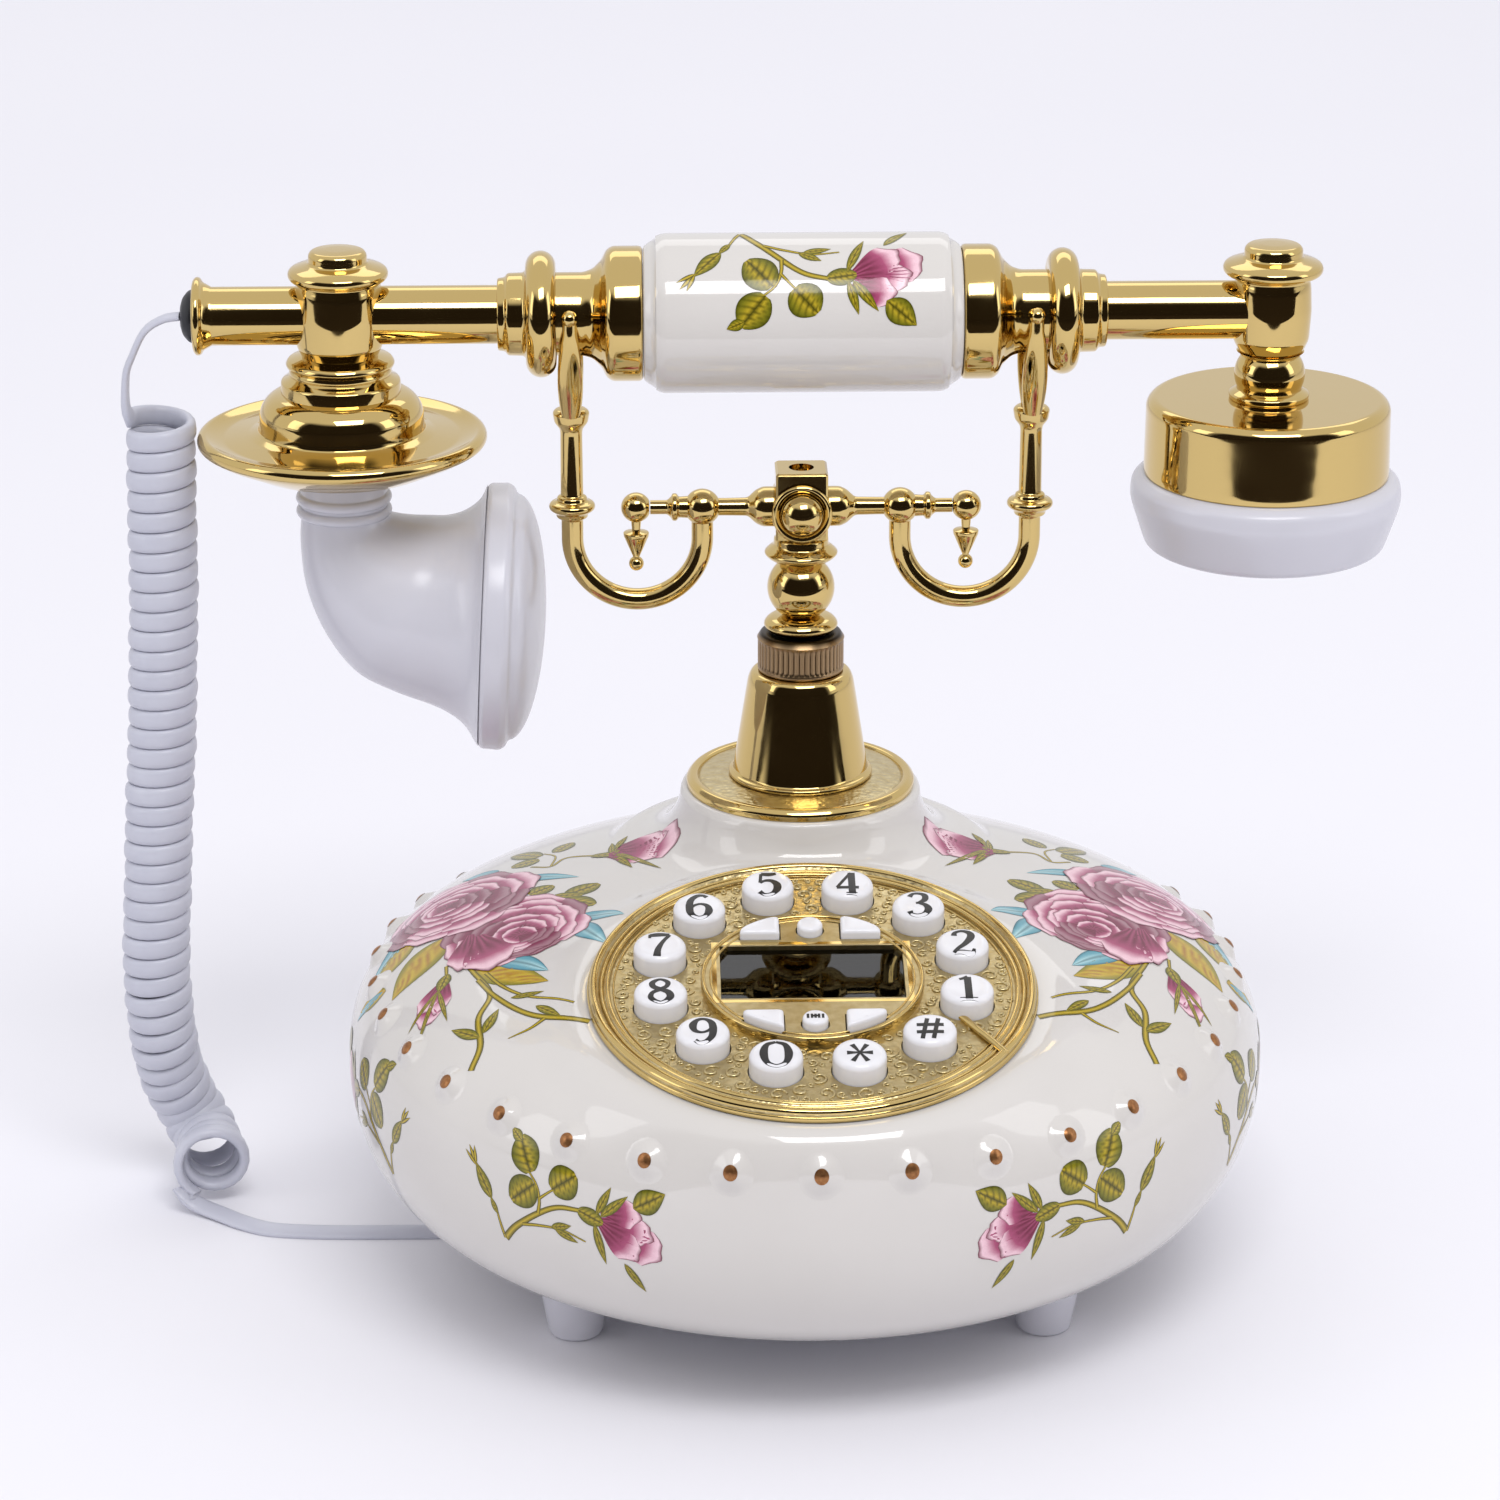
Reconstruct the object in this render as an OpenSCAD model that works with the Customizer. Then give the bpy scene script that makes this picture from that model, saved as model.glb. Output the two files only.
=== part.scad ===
// Ornate desk telephone: glazed ceramic base on four feet, push-button dial plate,
// gold-plated column with a forked cradle, and a gold handset on a flat curly cord.
// The origin is on the desk under the middle of the ceramic body; the front faces -Y.

/* [Ceramic base] */
// Radius of the body at its widest
body_r = 109; // [100:0.5:115]
// Height of the widest line above the desk
girth_z = 54; // [50:0.5:58]
// Height of the dome above the desk
dome_z = 95; // [92:0.5:98]
// Thickness of the ceramic wall
wall = 4; // [3:0.5:5]
// Height of the feet
foot_h = 13; // [12.5:0.5:15]

/* [Dial] */
// Radius of the dial plate
dial_r = 51.3; // [50:0.1:52]
// Slope of the dial plate towards the front
dial_tilt = 11.2; // [10:0.1:12]
// Radius of the circle that the number keys stand on
key_ring_r = 36.1; // [35.5:0.1:36.5]
// Radius of a number key
key_r = 6.1; // [5.5:0.1:6.3]
// Height of a number key above the plate
key_rise = 5.2; // [4:0.1:6]
// Travel of a number key
key_travel = 1.2; // [0.8:0.1:1.3]

/* [Column and cradle] */
// Distance of the column behind the middle of the body
column_y = 35; // [34:0.5:36]
// Height of the cradle's cross bar
bar_z = 178.2; // [177:0.1:180]
// Distance of each fork from the column
fork_x = 54.6; // [54:0.1:55]
// Radius of the fork's tube
fork_r = 2.6; // [2.2:0.1:2.8]

/* [Handset] */
// Height of the handset's axis when it is on the cradle
handset_z = 226; // [226:0.1:227]
// Radius of the handset's tubes
tube_r = 6.9; // [6.5:0.1:7.2]
// Distance of the transmitter from the column
mic_x = 108.8; // [108:0.1:110]
// Distance of the receiver from the column
ear_x = 110.9; // [110:0.1:112]

/* [Hidden] */
$fn = 64;
NUMBER_KEYS = ["key_1", "key_2", "key_3", "key_4", "key_5", "key_6",
               "key_7", "key_8", "key_9", "key_0", "key_star", "key_hash"];
FUNCTION_KEYS = ["key_redial", "key_up", "key_flash", "key_volume", "key_call_back", "key_down"];

// Ceramic body: height of its lower lip, and the lip's radius
lip_z = 15.5;
lip_r = 71.5;
dome_n = 2.6;
belly_n = 2.2;
neck_top_z = 107.9;
neck_r = 29;
pearl_count = 34;
pearl_z = 71;
pearl_sway = 3.2;
pearl_r = 3.4;
foot_x = 55.2;
foot_y = 44.5;
plate_r = 67.5;
plate_z = 11.5;

// Dial: the plate's top face passes through this point, and the keys' ring lies a little uphill
dial_at = [0, -51.3, 90];
plate_t = 3;
sunk = 1.4;
ring_v = 1.5;
stage_r = 25.6;
stage_h = 2;
lcd_size = [42.2, 21.5];
lcd_v = 3.6;
fkey_v = 19.2;
fkey_u = 11.7;
fkey_size = [9.2, 7];
fkey_round_r = 3;
fkey_rise = 2.2;
flange_w = -3.3;
flange_t = 1;
key_gap = 0.3;
mat_w = flange_w - flange_t - key_travel - 0.4;
mat_t = 1.2;
board_t = 1.6;

// Column
flange_top = 110.7;
cone_top = 137.4;
nut_top = 147;
rod_r = 4;
shaft_gap = 0.3;

// Cradle
inner_ball_x = 23.6;
bend_r = (fork_x - inner_ball_x) / 2;
bend_z = 170.7;
end_ball_x = 39.4;
yoke_y = 11.9;
yoke_z = 199;
yoke_tip_z = 229.3;

// Handset, along X from its middle
grip_x = 37.4;
grip_r = 18.8;
collar_x = 46;
bulge_x = 61.4;
tube_x = 66;
mic_end_x = 142;
saucer_z = 196.2;

// Flat cord, laid by hand: points of the two plain leads and of the curly stretch
cord_w = 5;
cord_t = 2.4;
curl_r = 8.2;
LEAD_UPPER = [[-146.2, 35, 226], [-150, 35, 225.4], [-154.4, 35, 222.6], [-157.4, 35, 217],
              [-158.6, 35, 210.5], [-158, 35, 206], [-157, 35, 203.2]];
CURL = [[-151.6, 35, 203], [-152, 35, 180], [-152.8, 35, 150], [-154.2, 35, 120], [-155.8, 35, 90],
        [-157.4, 35, 60], [-158, 35, 40], [-157.4, 34.6, 28], [-154.6, 33.6, 18.6],
        [-150, 31.6, 12.4], [-145, 28.6, 9.6]];
LEAD_LOWER = [[-152, 29, 4.4], [-154.4, 27, 2], [-154.6, 23.6, 1.3], [-151, 20, 1.3],
              [-145, 17, 1.3], [-137, 14, 1.3], [-127, 11.4, 1.3], [-116, 9.6, 1.3], [-103, 9, 1.3],
              [-88, 8.8, 1.3], [-74, 9, 1.3], [-65, 9.4, 2.2], [-58.6, 10, 5], [-55, 10, 8.4], [-54, 10, 11.4]];

// Points of an arc about a centre, from one angle to another
function arc(c, r, a0, a1, n = 8) =
    [for (i = [0:n]) let (a = a0 + (a1 - a0) * i / n) [c[0] + r * cos(a), c[1] + r * sin(a)]];

// Half outline of the ceramic pebble, drawn in by t all round: upper curve, then lower curve
function pebble(t) = concat(
    [for (i = [0:20]) let (a = 90 * i / 20, s = cos(a))
        [(body_r - t) * pow(1 - pow(s, dome_n), 1 / dome_n), girth_z + (dome_z - t - girth_z) * s]],
    [for (i = [1:14]) let (s = sin(90 * i / 14))
        [lip_r - t + (body_r - lip_r) * pow(max(0, 1 - pow(s, belly_n)), 1 / belly_n),
         girth_z - (girth_z - lip_z) * s]]);

// ---------- helpers that place and turn shapes ----------

module turned(points) { rotate_extrude() polygon(points); }

module at_column() { translate([0, column_y, 0]) children(); }

module on_dial() { translate(dial_at) rotate([dial_tilt, 0, 0]) children(); }

// Turned about the handset's axis: the profile's height runs outwards along X on the given side
module along_handset(side) {
    translate([0, column_y, handset_z]) rotate([0, side * 90, 0]) children();
}

// Oval of n points about c, square to the route from a to b: half size w across the facing
// direction, and half size t the other way
function ring_points(c, a, b, w, t, facing, n) =
    let (d = (b - a) / norm(b - a), side = cross(d, facing), u = side / norm(side), v = cross(d, u))
    [for (i = [0:n - 1]) c + u * w * cos(360 * i / n) + v * t * sin(360 * i / n)];

// Tube along a route, with one ring at each of its points
module swept(route, w, t, facing, n = 8) {
    last = len(route) - 1;
    points = [for (k = [0:last]) each ring_points(route[k], route[max(0, k - 1)],
                                                  route[min(last, k + 1)], w, t, facing, n)];
    sides = [for (k = [0:last - 1]) for (i = [0:n - 1])
        [k * n + (i + 1) % n, k * n + i, (k + 1) * n + i, (k + 1) * n + (i + 1) % n]];
    ends = [[for (i = [0:n - 1]) i], [for (i = [n - 1:-1:0]) last * n + i]];
    polyhedron(points, concat(sides, ends), convexity = 6);
}

// ---------- ceramic base ----------

module pearls() {
    for (i = [0:pearl_count - 1])
        let (a = -90 + 360 * i / pearl_count, z = pearl_z + pearl_sway * cos(2 * a),
             at = (body_r - 0.6) * pow(1 - pow((z - girth_z) / (dome_z - girth_z), dome_n), 1 / dome_n))
        rotate([0, 0, a]) translate([at - 1.2, 0, z]) sphere(r = pearl_r, $fn = 24);
}

module neck(t) {
    at_column() turned(concat([[0, 80], [0, neck_top_z]], [[neck_r - t, neck_top_z]],
        arc([neck_r - t + 16, neck_top_z], 16, 180, 255, 8), [[neck_r - t + 16, 80]]));
}

module body_shell() color("ivory") difference() {
    union() {
        turned(concat([[0, lip_z]], pebble(0)));
        neck(0);
        pearls();
        on_dial() translate([0, 0, -16]) cylinder(r = dial_r + 3.2, h = 16 - plate_t + sunk);
    }
    difference() {
        turned(concat([[0, lip_z - 1]], pebble(wall), [[lip_r - wall, lip_z - 1]]));
        at_column() cylinder(r = 24, h = neck_top_z - wall - 1);
    }
    at_column() translate([0, 0, lip_z - 1]) cylinder(r = 24.01, h = neck_top_z - wall - lip_z);
    at_column() cylinder(r = 9, h = 120);
    on_dial() {
        translate([0, 0, -plate_t]) cylinder(r = dial_r + 0.2, h = 30);
        translate([0, 0, -22]) cylinder(r = 46, h = 30);
    }
}

module base_plate() color("white") difference() {
    union() {
        translate([0, 0, plate_z]) cylinder(r = plate_r, h = 3);
        translate([0, 0, plate_z + 1]) cylinder(r = plate_r - 1, h = lip_z - plate_z - 1);
        for (a = [45:90:315]) rotate(a) translate([44, 0, lip_z]) cylinder(r = 4, h = 6);
    }
    for (a = [45:90:315]) rotate(a) translate([44, 0, 0]) cylinder(r = 1.5, h = 40, $fn = 24);
    for (a = [45:90:315]) rotate(a) translate([44, 0, 0]) cylinder(r = 3.4, h = plate_z + 2, $fn = 32);
    translate([-54, 10, 0]) cylinder(r = 3.2, h = 40, $fn = 32);
}

// Tapered feet: their tops follow the curve of the ceramic and the edge of the base plate
module feet() color("white") difference() {
    for (sx = [-1, 1], sy = [-1, 1]) translate([sx * foot_x, sy * foot_y, 0])
        turned(concat([[0, 0]], arc([5.2, 1.2], 1.2, -90, 0, 4), [[8.6, foot_h], [8.6, foot_h + 8],
            [0, foot_h + 8]]));
    turned(concat([[0, lip_z - 0.05]], pebble(-0.05)));
    translate([0, 0, plate_z - 0.05]) cylinder(r = plate_r + 0.05, h = 10);
}

module base_screws() color("silver") for (a = [45:90:315]) rotate(a) translate([44, 0, 0]) {
    translate([0, 0, plate_z + 0.4]) cylinder(r = 2.9, h = 1.6, $fn = 32);
    translate([0, 0, plate_z + 1.9]) cylinder(r = 1.45, h = 13, $fn = 24);
}

module main_board() color("darkgreen") difference() {
    translate([-42, -42, lip_z + 6]) cube([84, 84, 1.6]);
    for (a = [45:90:315]) rotate(a) translate([44, 0, 0]) cylinder(r = 1.6, h = 40, $fn = 24);
}

module ringer() color("dimgray") translate([30, -2, lip_z + 7.6]) {
    cylinder(r = 14, h = 4);
    translate([0, 0, 4]) cylinder(r1 = 14, r2 = 12, h = 2);
}

// Socket for the line cord, at the back of the base plate
module jack_block() color("black") translate([0, 58, lip_z]) difference() {
    translate([-7, -8, 0]) cube([14, 15, 11]);
    translate([-5, -2, 2.4]) cube([10, 9.1, 6.4]);
}

// ---------- dial ----------

function number_key_at(i) = [key_ring_r * cos(i * 30 - 15), ring_v + key_ring_r * sin(i * 30 - 15)];

function function_key_at(i) = [(i % 3 - 1) * fkey_u, ring_v + (i < 3 ? fkey_v : -fkey_v)];

// Plan of a function key: round in the middle, a wedge cut by the stage's edge at the sides
module function_key_plan(i, grow) {
    at = function_key_at(i);
    if (i % 3 == 1) translate(at) circle(r = fkey_round_r + grow);
    else intersection() {
        translate(at - fkey_size / 2 - [grow, grow]) square(fkey_size + 2 * [grow, grow]);
        translate([0, ring_v]) circle(r = stage_r - 1.8 + grow);
    }
}

module dial_plate() color("gold") on_dial() difference() {
    union() {
        translate([0, 0, -plate_t]) cylinder(r = dial_r, h = plate_t);
        turned([[48.8, -1], [dial_r, -1], [dial_r, 0.6], [50.6, 1], [49.4, 1], [48.8, 0.4]]);
        turned([[46.4, -1], [48, -1], [48, 0.4], [47.6, 0.7], [46.8, 0.7], [46.4, 0.4]]);
        translate([0, ring_v, 0]) turned([[0, -1], [stage_r, -1], [stage_r, 1.4], [stage_r - 0.6, stage_h],
                                          [0, stage_h]]);
    }
    for (i = [0:11]) translate(number_key_at(i)) translate([0, 0, -10]) cylinder(r = key_r + key_gap, h = 20);
    for (i = [0:5]) translate([0, 0, -10]) linear_extrude(20) function_key_plan(i, key_gap);
    translate([-lcd_size[0] / 2, lcd_v - lcd_size[1] / 2, -10]) cube([lcd_size[0], lcd_size[1], 20]);
}

module lcd_window() color([0.12, 0.12, 0.1, 0.8]) on_dial()
    translate([-lcd_size[0] / 2 + 0.05, lcd_v - lcd_size[1] / 2 + 0.05, -1.2])
        cube([lcd_size[0] - 0.1, lcd_size[1] - 0.1, 2]);

module lcd_module() color("darkolivegreen") on_dial()
    translate([-22.5, lcd_v - 12.5, -8.05]) difference() {
        cube([45, 25, 4.9]);
        translate([2, 2, 3.6]) cube([41, 21, 2]);
    }

module key_mat() color("gainsboro") on_dial() translate([0, 0, mat_w - mat_t]) difference() {
    cylinder(r = 45.4, h = mat_t);
    translate([-23, lcd_v - 13, -1]) cube([46, 26, 5]);
}

module key_board() color("darkgreen") on_dial() translate([0, 0, mat_w - mat_t - board_t]) difference() {
    cylinder(r = 45.4, h = board_t);
    translate([-22.7, lcd_v - 12.7, 0.6]) cube([45.4, 25.4, 5]);
}

module number_key(i) color("white") on_dial() translate(number_key_at(i)) {
    turned(concat([[0, flange_w - flange_t]], [[key_r, flange_w - flange_t]],
        arc([key_r - 1.6, key_rise - 1.6], 1.6, 0, 70, 5), [[0, key_rise]]));
    translate([0, 0, flange_w - flange_t]) cylinder(r = key_r + 0.9, h = flange_t);
}

module function_key(i) color("white") on_dial() {
    translate([0, 0, flange_w - flange_t])
        linear_extrude(stage_h + fkey_rise - flange_w + flange_t) function_key_plan(i, 0);
    translate([0, 0, flange_w - flange_t]) linear_extrude(flange_t) function_key_plan(i, 0.8);
}

// ---------- column ----------

module column_flange() color("goldenrod") at_column() difference() {
    turned(concat([[0, neck_top_z], [27, neck_top_z]], arc([26.2, neck_top_z + 1.4], 1.1, -40, 70, 6),
        [[25.4, flange_top - 0.5], [18.5, flange_top], [0, flange_top]]));
    cylinder(r = rod_r + 2 * shaft_gap, h = 200);
}

module column_cone() color("gold") at_column() difference() {
    turned(concat([[0, flange_top], [17.4, flange_top], [17.4, flange_top + 1], [16.5, flange_top + 1.8]],
        arc([10.6, cone_top - 2], 2, 10, 90, 6), [[0, cone_top]]));
    translate([0, 0, flange_top - 1]) cylinder(r1 = 14, r2 = 9, h = cone_top - flange_top - 2);
    cylinder(r = 7, h = 200);
}

module knurled_nut() color("darkgoldenrod") at_column() difference() {
    union() {
        translate([0, 0, cone_top]) cylinder(r = 9.9, h = nut_top - cone_top);
        translate([0, 0, cone_top]) cylinder(r1 = 10.3, r2 = 10.5, h = 1);
        translate([0, 0, nut_top - 1.6]) cylinder(r1 = 10.5, r2 = 9.6, h = 1.2);
        for (a = [0:7.5:359]) rotate(a) translate([9.8, 0, cone_top + 0.6])
            cylinder(r = 0.62, h = nut_top - cone_top - 2.2, $fn = 16);
    }
    cylinder(r = rod_r + shaft_gap, h = 200);
}

// Micro switch under the stem, on a bracket that hangs from the neck
module hook_switch() color("dimgray") at_column() {
    translate([-10, -5, 84]) cube([20, 10, 15]);
    translate([-2, -2, 98]) cube([4, 4, 4.7]);
    for (s = [-1, 1]) translate([s * 15 - 5, -5, 84]) cube([10, 10, 3]);
    for (s = [-1, 1]) translate([s * 19 - 1, -5, 84]) cube([2, 10, neck_top_z - wall - 85]);
}

module hook_spring() color("silver") at_column() translate([0, 0, flange_top + 0.1]) difference() {
    cylinder(r = 6.4, h = 19);
    translate([0, 0, -1]) cylinder(r = 5, h = 30);
}

// ---------- cradle ----------

module cradle_stem() color("gold") at_column() turned(concat(
    [[0, 103], [rod_r, 103], [rod_r, flange_top + 19.4], [6.4, flange_top + 19.4], [6.4, flange_top + 21.4],
     [rod_r, flange_top + 21.4], [rod_r, nut_top + 0.4], [8, nut_top + 0.4]],
    arc([7.8, nut_top + 1.8], 1.2, -80, 80, 6), [[6.6, 150.8]],
    arc([0, 158], 8.1, -58, 60, 12), [[4.6, 165.4], [7.6, 165.6]],
    arc([7.6, 166.9], 1.3, -80, 80, 6), [[6.6, 168.4], [6.6, 171], [0, 171]]));

// Square block with a ring and a ball boss on its front and back, and a screw hole on top
module cradle_hub() color("gold") at_column() translate([0, 0, bar_z]) difference() {
    union() {
        translate([-6.2, -6, -7.2]) cube([12.4, 12, 16.9]);
        rotate([90, 0, 0]) cylinder(r = 7.2, h = 15, center = true);
        for (s = [-1, 1]) translate([0, s * 6.4, 0]) sphere(r = 5.3, $fn = 48);
    }
    for (s = [-1, 1]) translate([s * 11.2, 0, 0]) rotate([0, 90, 0]) cylinder(r = 4.82, h = 10, center = true);
    for (s = [-1, 1]) translate([0, s * 8, 0]) rotate([90, 0, 0]) difference() {
        cylinder(r = 6.5, h = 3, center = true);
        cylinder(r = 5.3, h = 4, center = true);
    }
    translate([0, 0, 5]) cylinder(r = 3, h = 8);
}

// One prong of the yoke: leans out from the stem's cup, then stands up beside the handset's waist
module prong() {
    hull() {
        translate([0, 2.4, yoke_z + 1.6]) rotate([0, 90, 0]) cylinder(r = 1.3, h = 2.4, center = true, $fn = 20);
        translate([0, yoke_y - 0.6, 221]) rotate([0, 90, 0]) cylinder(r = 1.35, h = 4.6, center = true, $fn = 20);
    }
    hull() {
        translate([0, yoke_y - 0.6, 221]) rotate([0, 90, 0]) cylinder(r = 1.35, h = 4.6, center = true, $fn = 20);
        translate([0, yoke_y, yoke_tip_z - 2]) rotate([0, 90, 0]) cylinder(r = 1.3, h = 3, center = true, $fn = 20);
    }
    translate([0, yoke_y + 0.3, yoke_tip_z - 1.2]) sphere(r = 1.9, $fn = 24);
}

// Half of the cross bar with its U-bend, stem and yoke, drawn towards +X
module fork() at_column() {
    translate([0, 0, bar_z]) rotate([0, 90, 0]) turned([[0, 6.2], [4.8, 6.2], [4.8, 9.4], [4, 11], [2.1, 13],
        [2.1, inner_ball_x], [0, inner_ball_x]]);
    translate([inner_ball_x, 0, bar_z]) sphere(r = 4.4, $fn = 48);
    translate([0, 0, bar_z]) rotate([0, 90, 0]) turned([[0, inner_ball_x], [2.6, inner_ball_x],
        [2.6, 29.4], [3.3, 29.8], [3.3, 30.6], [2.6, 31], [1.7, 31.4], [1.7, end_ball_x], [0, end_ball_x]]);
    translate([end_ball_x, 0, bar_z]) sphere(r = 3.6, $fn = 40);
    translate([inner_ball_x, 0, bend_z]) cylinder(r = fork_r, h = bar_z - bend_z, $fn = 40);
    translate([inner_ball_x + bend_r, 0, bend_z]) rotate([-90, 0, 0])
        rotate_extrude(angle = 180, $fn = 96) translate([bend_r, 0]) circle(r = fork_r, $fn = 40);
    translate([fork_x, 0, 0]) turned(concat([[0, bend_z], [fork_r, bend_z], [fork_r, bar_z - 2.4],
        [3.8, bar_z - 2], [3.8, bar_z - 1.2], [4.4, bar_z - 0.6]], arc([4.4, bar_z + 0.5], 1.1, -90, 90, 6),
        [[3.8, bar_z + 1.8], [3.4, bar_z + 2.8], [fork_r, bar_z + 3.2], [fork_r, yoke_z], [0, yoke_z]]));
    translate([fork_x, 0, yoke_z + 0.6]) scale([1, 1, 1]) turned([[0, -2], [2.6, -2], [4, 0], [4.4, 2.4],
        [3.4, 3], [0, 0.4]]);
    for (s = [0, 1]) translate([fork_x, 0, 0]) mirror([0, s, 0]) prong();
}

module fork_right() color("gold") fork();

module fork_left() color("gold") mirror([1, 0, 0]) fork();

module drop_finials() color("gold") at_column() for (s = [-1, 1]) translate([s * end_ball_x, 0, bar_z - 3.5])
    turned(concat([[0, 0], [1.2, 0], [1, -2.4], [3.1, -2.8], [3, -3.6], [0.8, -8.8]],
        arc([0, -10.6], 1.8, 60, -90, 6)));

// ---------- handset ----------

module grip_sleeve() color("ivory") along_handset(1) difference() {
    turned(concat([[0, -grip_x], [16.2, -grip_x]], arc([grip_r - 5.2, -grip_x + 5.4], 5.2, -55, 0, 6),
        arc([grip_r - 5.2, grip_x - 5.4], 5.2, 0, 55, 6), [[16.2, grip_x], [0, grip_x]]));
    cylinder(r = 12, h = 100, center = true);
}

// Turned gold end fitting: flanged collar, waist where the cradle holds it, bulge and ring
module collar() difference() {
    turned(concat([[0, grip_x], [15.6, grip_x], [15.9, grip_x + 0.6], [15.9, 44.6], [15, collar_x],
        [12.4, 47.4], [10.4, 49.4], [9.8, 51.4], [9.8, bulge_x - 4]],
        arc([11.3, bulge_x], 3.6, -115, 75, 12) , [[9.8, tube_x - 0.6], [9.6, tube_x + 3.4], [8.6, tube_x + 4],
        [8.4, tube_x + 5.6], [0, tube_x + 5.6]]));
    cylinder(r = 3.1, h = 200);
    translate([0, 0, 62]) cylinder(r = tube_r, h = 20);
}

module collar_right() color("gold") along_handset(1) collar();

module collar_left() color("gold") along_handset(-1) collar();

module tube(from, to) difference() {
    translate([0, 0, from]) cylinder(r = tube_r, h = to - from);
    translate([0, 0, from - 1]) cylinder(r = tube_r - 1.4, h = to - from + 2);
}

module mic_tube() color("gold") along_handset(-1) {
    tube(62, mic_end_x - 3);
    turned(concat([[4, mic_end_x - 3.4], [tube_r, mic_end_x - 3.4], [8.2, mic_end_x - 1.2]],
        arc([8.2, mic_end_x], 1, -60, 90, 6), [[6.6, mic_end_x + 1], [6, mic_end_x - 1], [4, mic_end_x - 1]]));
}

module ear_tube() color("gold") along_handset(1) tube(62, ear_x - 4);

module tie_rod() color("silver") along_handset(1) cylinder(r = 3, h = 124, center = true);

// Barrel that the tube runs into, under a domed cap and a button
module knob(r) turned(concat([[0, -10.4], [r - 1.6, -10.4], [r - 0.4, -7], [r, 0], [r - 0.4, 6], [r - 1, 8.2],
    [10.4, 8.6]], arc([10.4, 10.1], 1.5, -90, 70, 8), [[8, 12.4], [6.9, 12.8], [6.9, 14.6]],
    arc([5.6, 14.6], 1.2, 0, 80, 4), [[0, 16]]));

module mic_knob() color("gold") translate([-mic_x, column_y, handset_z]) difference() {
    knob(10.6);
    rotate([0, 90, 0]) cylinder(r = tube_r, h = 40, center = true);
}

module ear_knob() color("gold") translate([ear_x, column_y, handset_z]) difference() {
    union() {
        knob(9.4);
        translate([0, 0, -21.6]) turned(concat([[0, 0], [9.4, 0], [9.4, 1.6], [7.6, 2.4]],
            arc([1.4, 6], 7, -25, 40, 8), [[7.2, 11.3], [0, 11.3]]));
    }
    rotate([0, -90, 0]) cylinder(r = tube_r, h = 40);
}

// Turned stack under the left knob, with its wide saucer and rolled rim
module mic_saucer() color("gold") translate([-mic_x, column_y, 0]) difference() {
    turned(concat([[0, 186], [20, 188.2], [32.4, 194]], arc([32.6, saucer_z], 1.7, -60, 100, 8),
        [[28, 196.6], [19.6, 198.6], [19.4, 200]], arc([13.4, 201.4], 5.6, 10, 75, 6),
        [[14, 208.2], [14, 210.4], [12.2, 211.4], [11.6, 213.2], [12.4, 214.2], [12.2, 215.4], [0, 215.6]]));
    translate([0, 0, 180]) cylinder(r = 3.4, h = 60);
}

// Horn rings, each by its upper and lower point in the plane of the handset
HORN = [[[-98.6, 178.6], [-119, 178.2]], [[-97.9, 177], [-119.4, 170]],
        [[-95.5, 176.3], [-118.2, 159]], [[-92, 175.8], [-114, 148]], [[-88, 175.6], [-107, 138.6]],
        [[-84, 175.6], [-98, 133.6]], [[-80, 176.8], [-87.5, 129.5]], [[-76.6, 179.3], [-81.5, 125.5]],
        [[-74.8, 182.6], [-78, 120]]];
horn_sides = 28;
horn_wall_t = 2.4;

// One ring of the horn, drawn in by t
function horn_ring(h, t) =
    let (c = (h[0] + h[1]) / 2, v = (h[0] - h[1]) / 2, r = norm(v) - t, u = v / norm(v))
    [for (i = [0:horn_sides - 1]) let (a = 360 * i / horn_sides)
        [c[0] + u[0] * r * cos(a), column_y + r * sin(a), c[1] + u[1] * r * cos(a)]];

// The horn's wall: outer rings, then inner rings, joined at the open neck and at the open mouth
module horn_wall() {
    n = horn_sides;
    last = len(HORN) - 1;
    points = concat([for (h = HORN) each horn_ring(h, 0)], [for (h = HORN) each horn_ring(h, horn_wall_t)]);
    inner = n * (last + 1);
    sides = [for (k = [0:last - 1]) for (i = [0:n - 1]) let (j = (i + 1) % n, a = k * n, b = (k + 1) * n)
        each [[a + i, a + j, b + j, b + i], [inner + a + j, inner + a + i, inner + b + i, inner + b + j]]];
    ends = [for (i = [0:n - 1]) let (j = (i + 1) % n, m = last * n)
        each [[j, i, inner + i, inner + j], [m + i, m + j, inner + m + j, inner + m + i]]];
    polyhedron(points, concat(sides, ends), convexity = 6);
}

module horn() color("whitesmoke") {
    horn_wall();
    translate([-mic_x, column_y, 0]) turned(concat([[7.4, 176.8], [10, 176.8]],
        arc([10.2, 178.2], 1.2, -70, 70, 6), arc([10.2, 181.4], 1.2, -70, 70, 6), [[10.4, 186], [7.4, 186]]));
}

module at_mouth() {
    mouth = (HORN[8][0] + HORN[8][1]) / 2;
    lean = atan2(HORN[8][0][0] - HORN[8][1][0], HORN[8][0][1] - HORN[8][1][1]);
    translate([mouth[0], column_y, mouth[1]]) rotate([0, 90 + lean, 0]) children();
}

// Thick rim and domed front of the transmitter
module horn_cap() color("whitesmoke") at_mouth() difference() {
    turned(concat([[0, 0], [30.8, 0], [31.8, 0.6], [32, 5.4], [31.2, 6.6]], [[30, 7.2]],
        [for (a = [10:10:90]) [29.4 * cos(a), 7.2 + 8 * sin(a)]]));
    translate([0, 0, -1]) turned(concat([[0, 0], [29, 0], [28.6, 6.4]],
        [for (a = [10:10:90]) [28 * cos(a), 6.4 + 6.4 * sin(a)]]));
}

module microphone() color("dimgray") at_mouth() {
    translate([0, 0, -4]) cylinder(r = 10, h = 9);
    translate([0, 0, 0.05]) cylinder(r = 28.7, h = 2);
}

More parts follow.
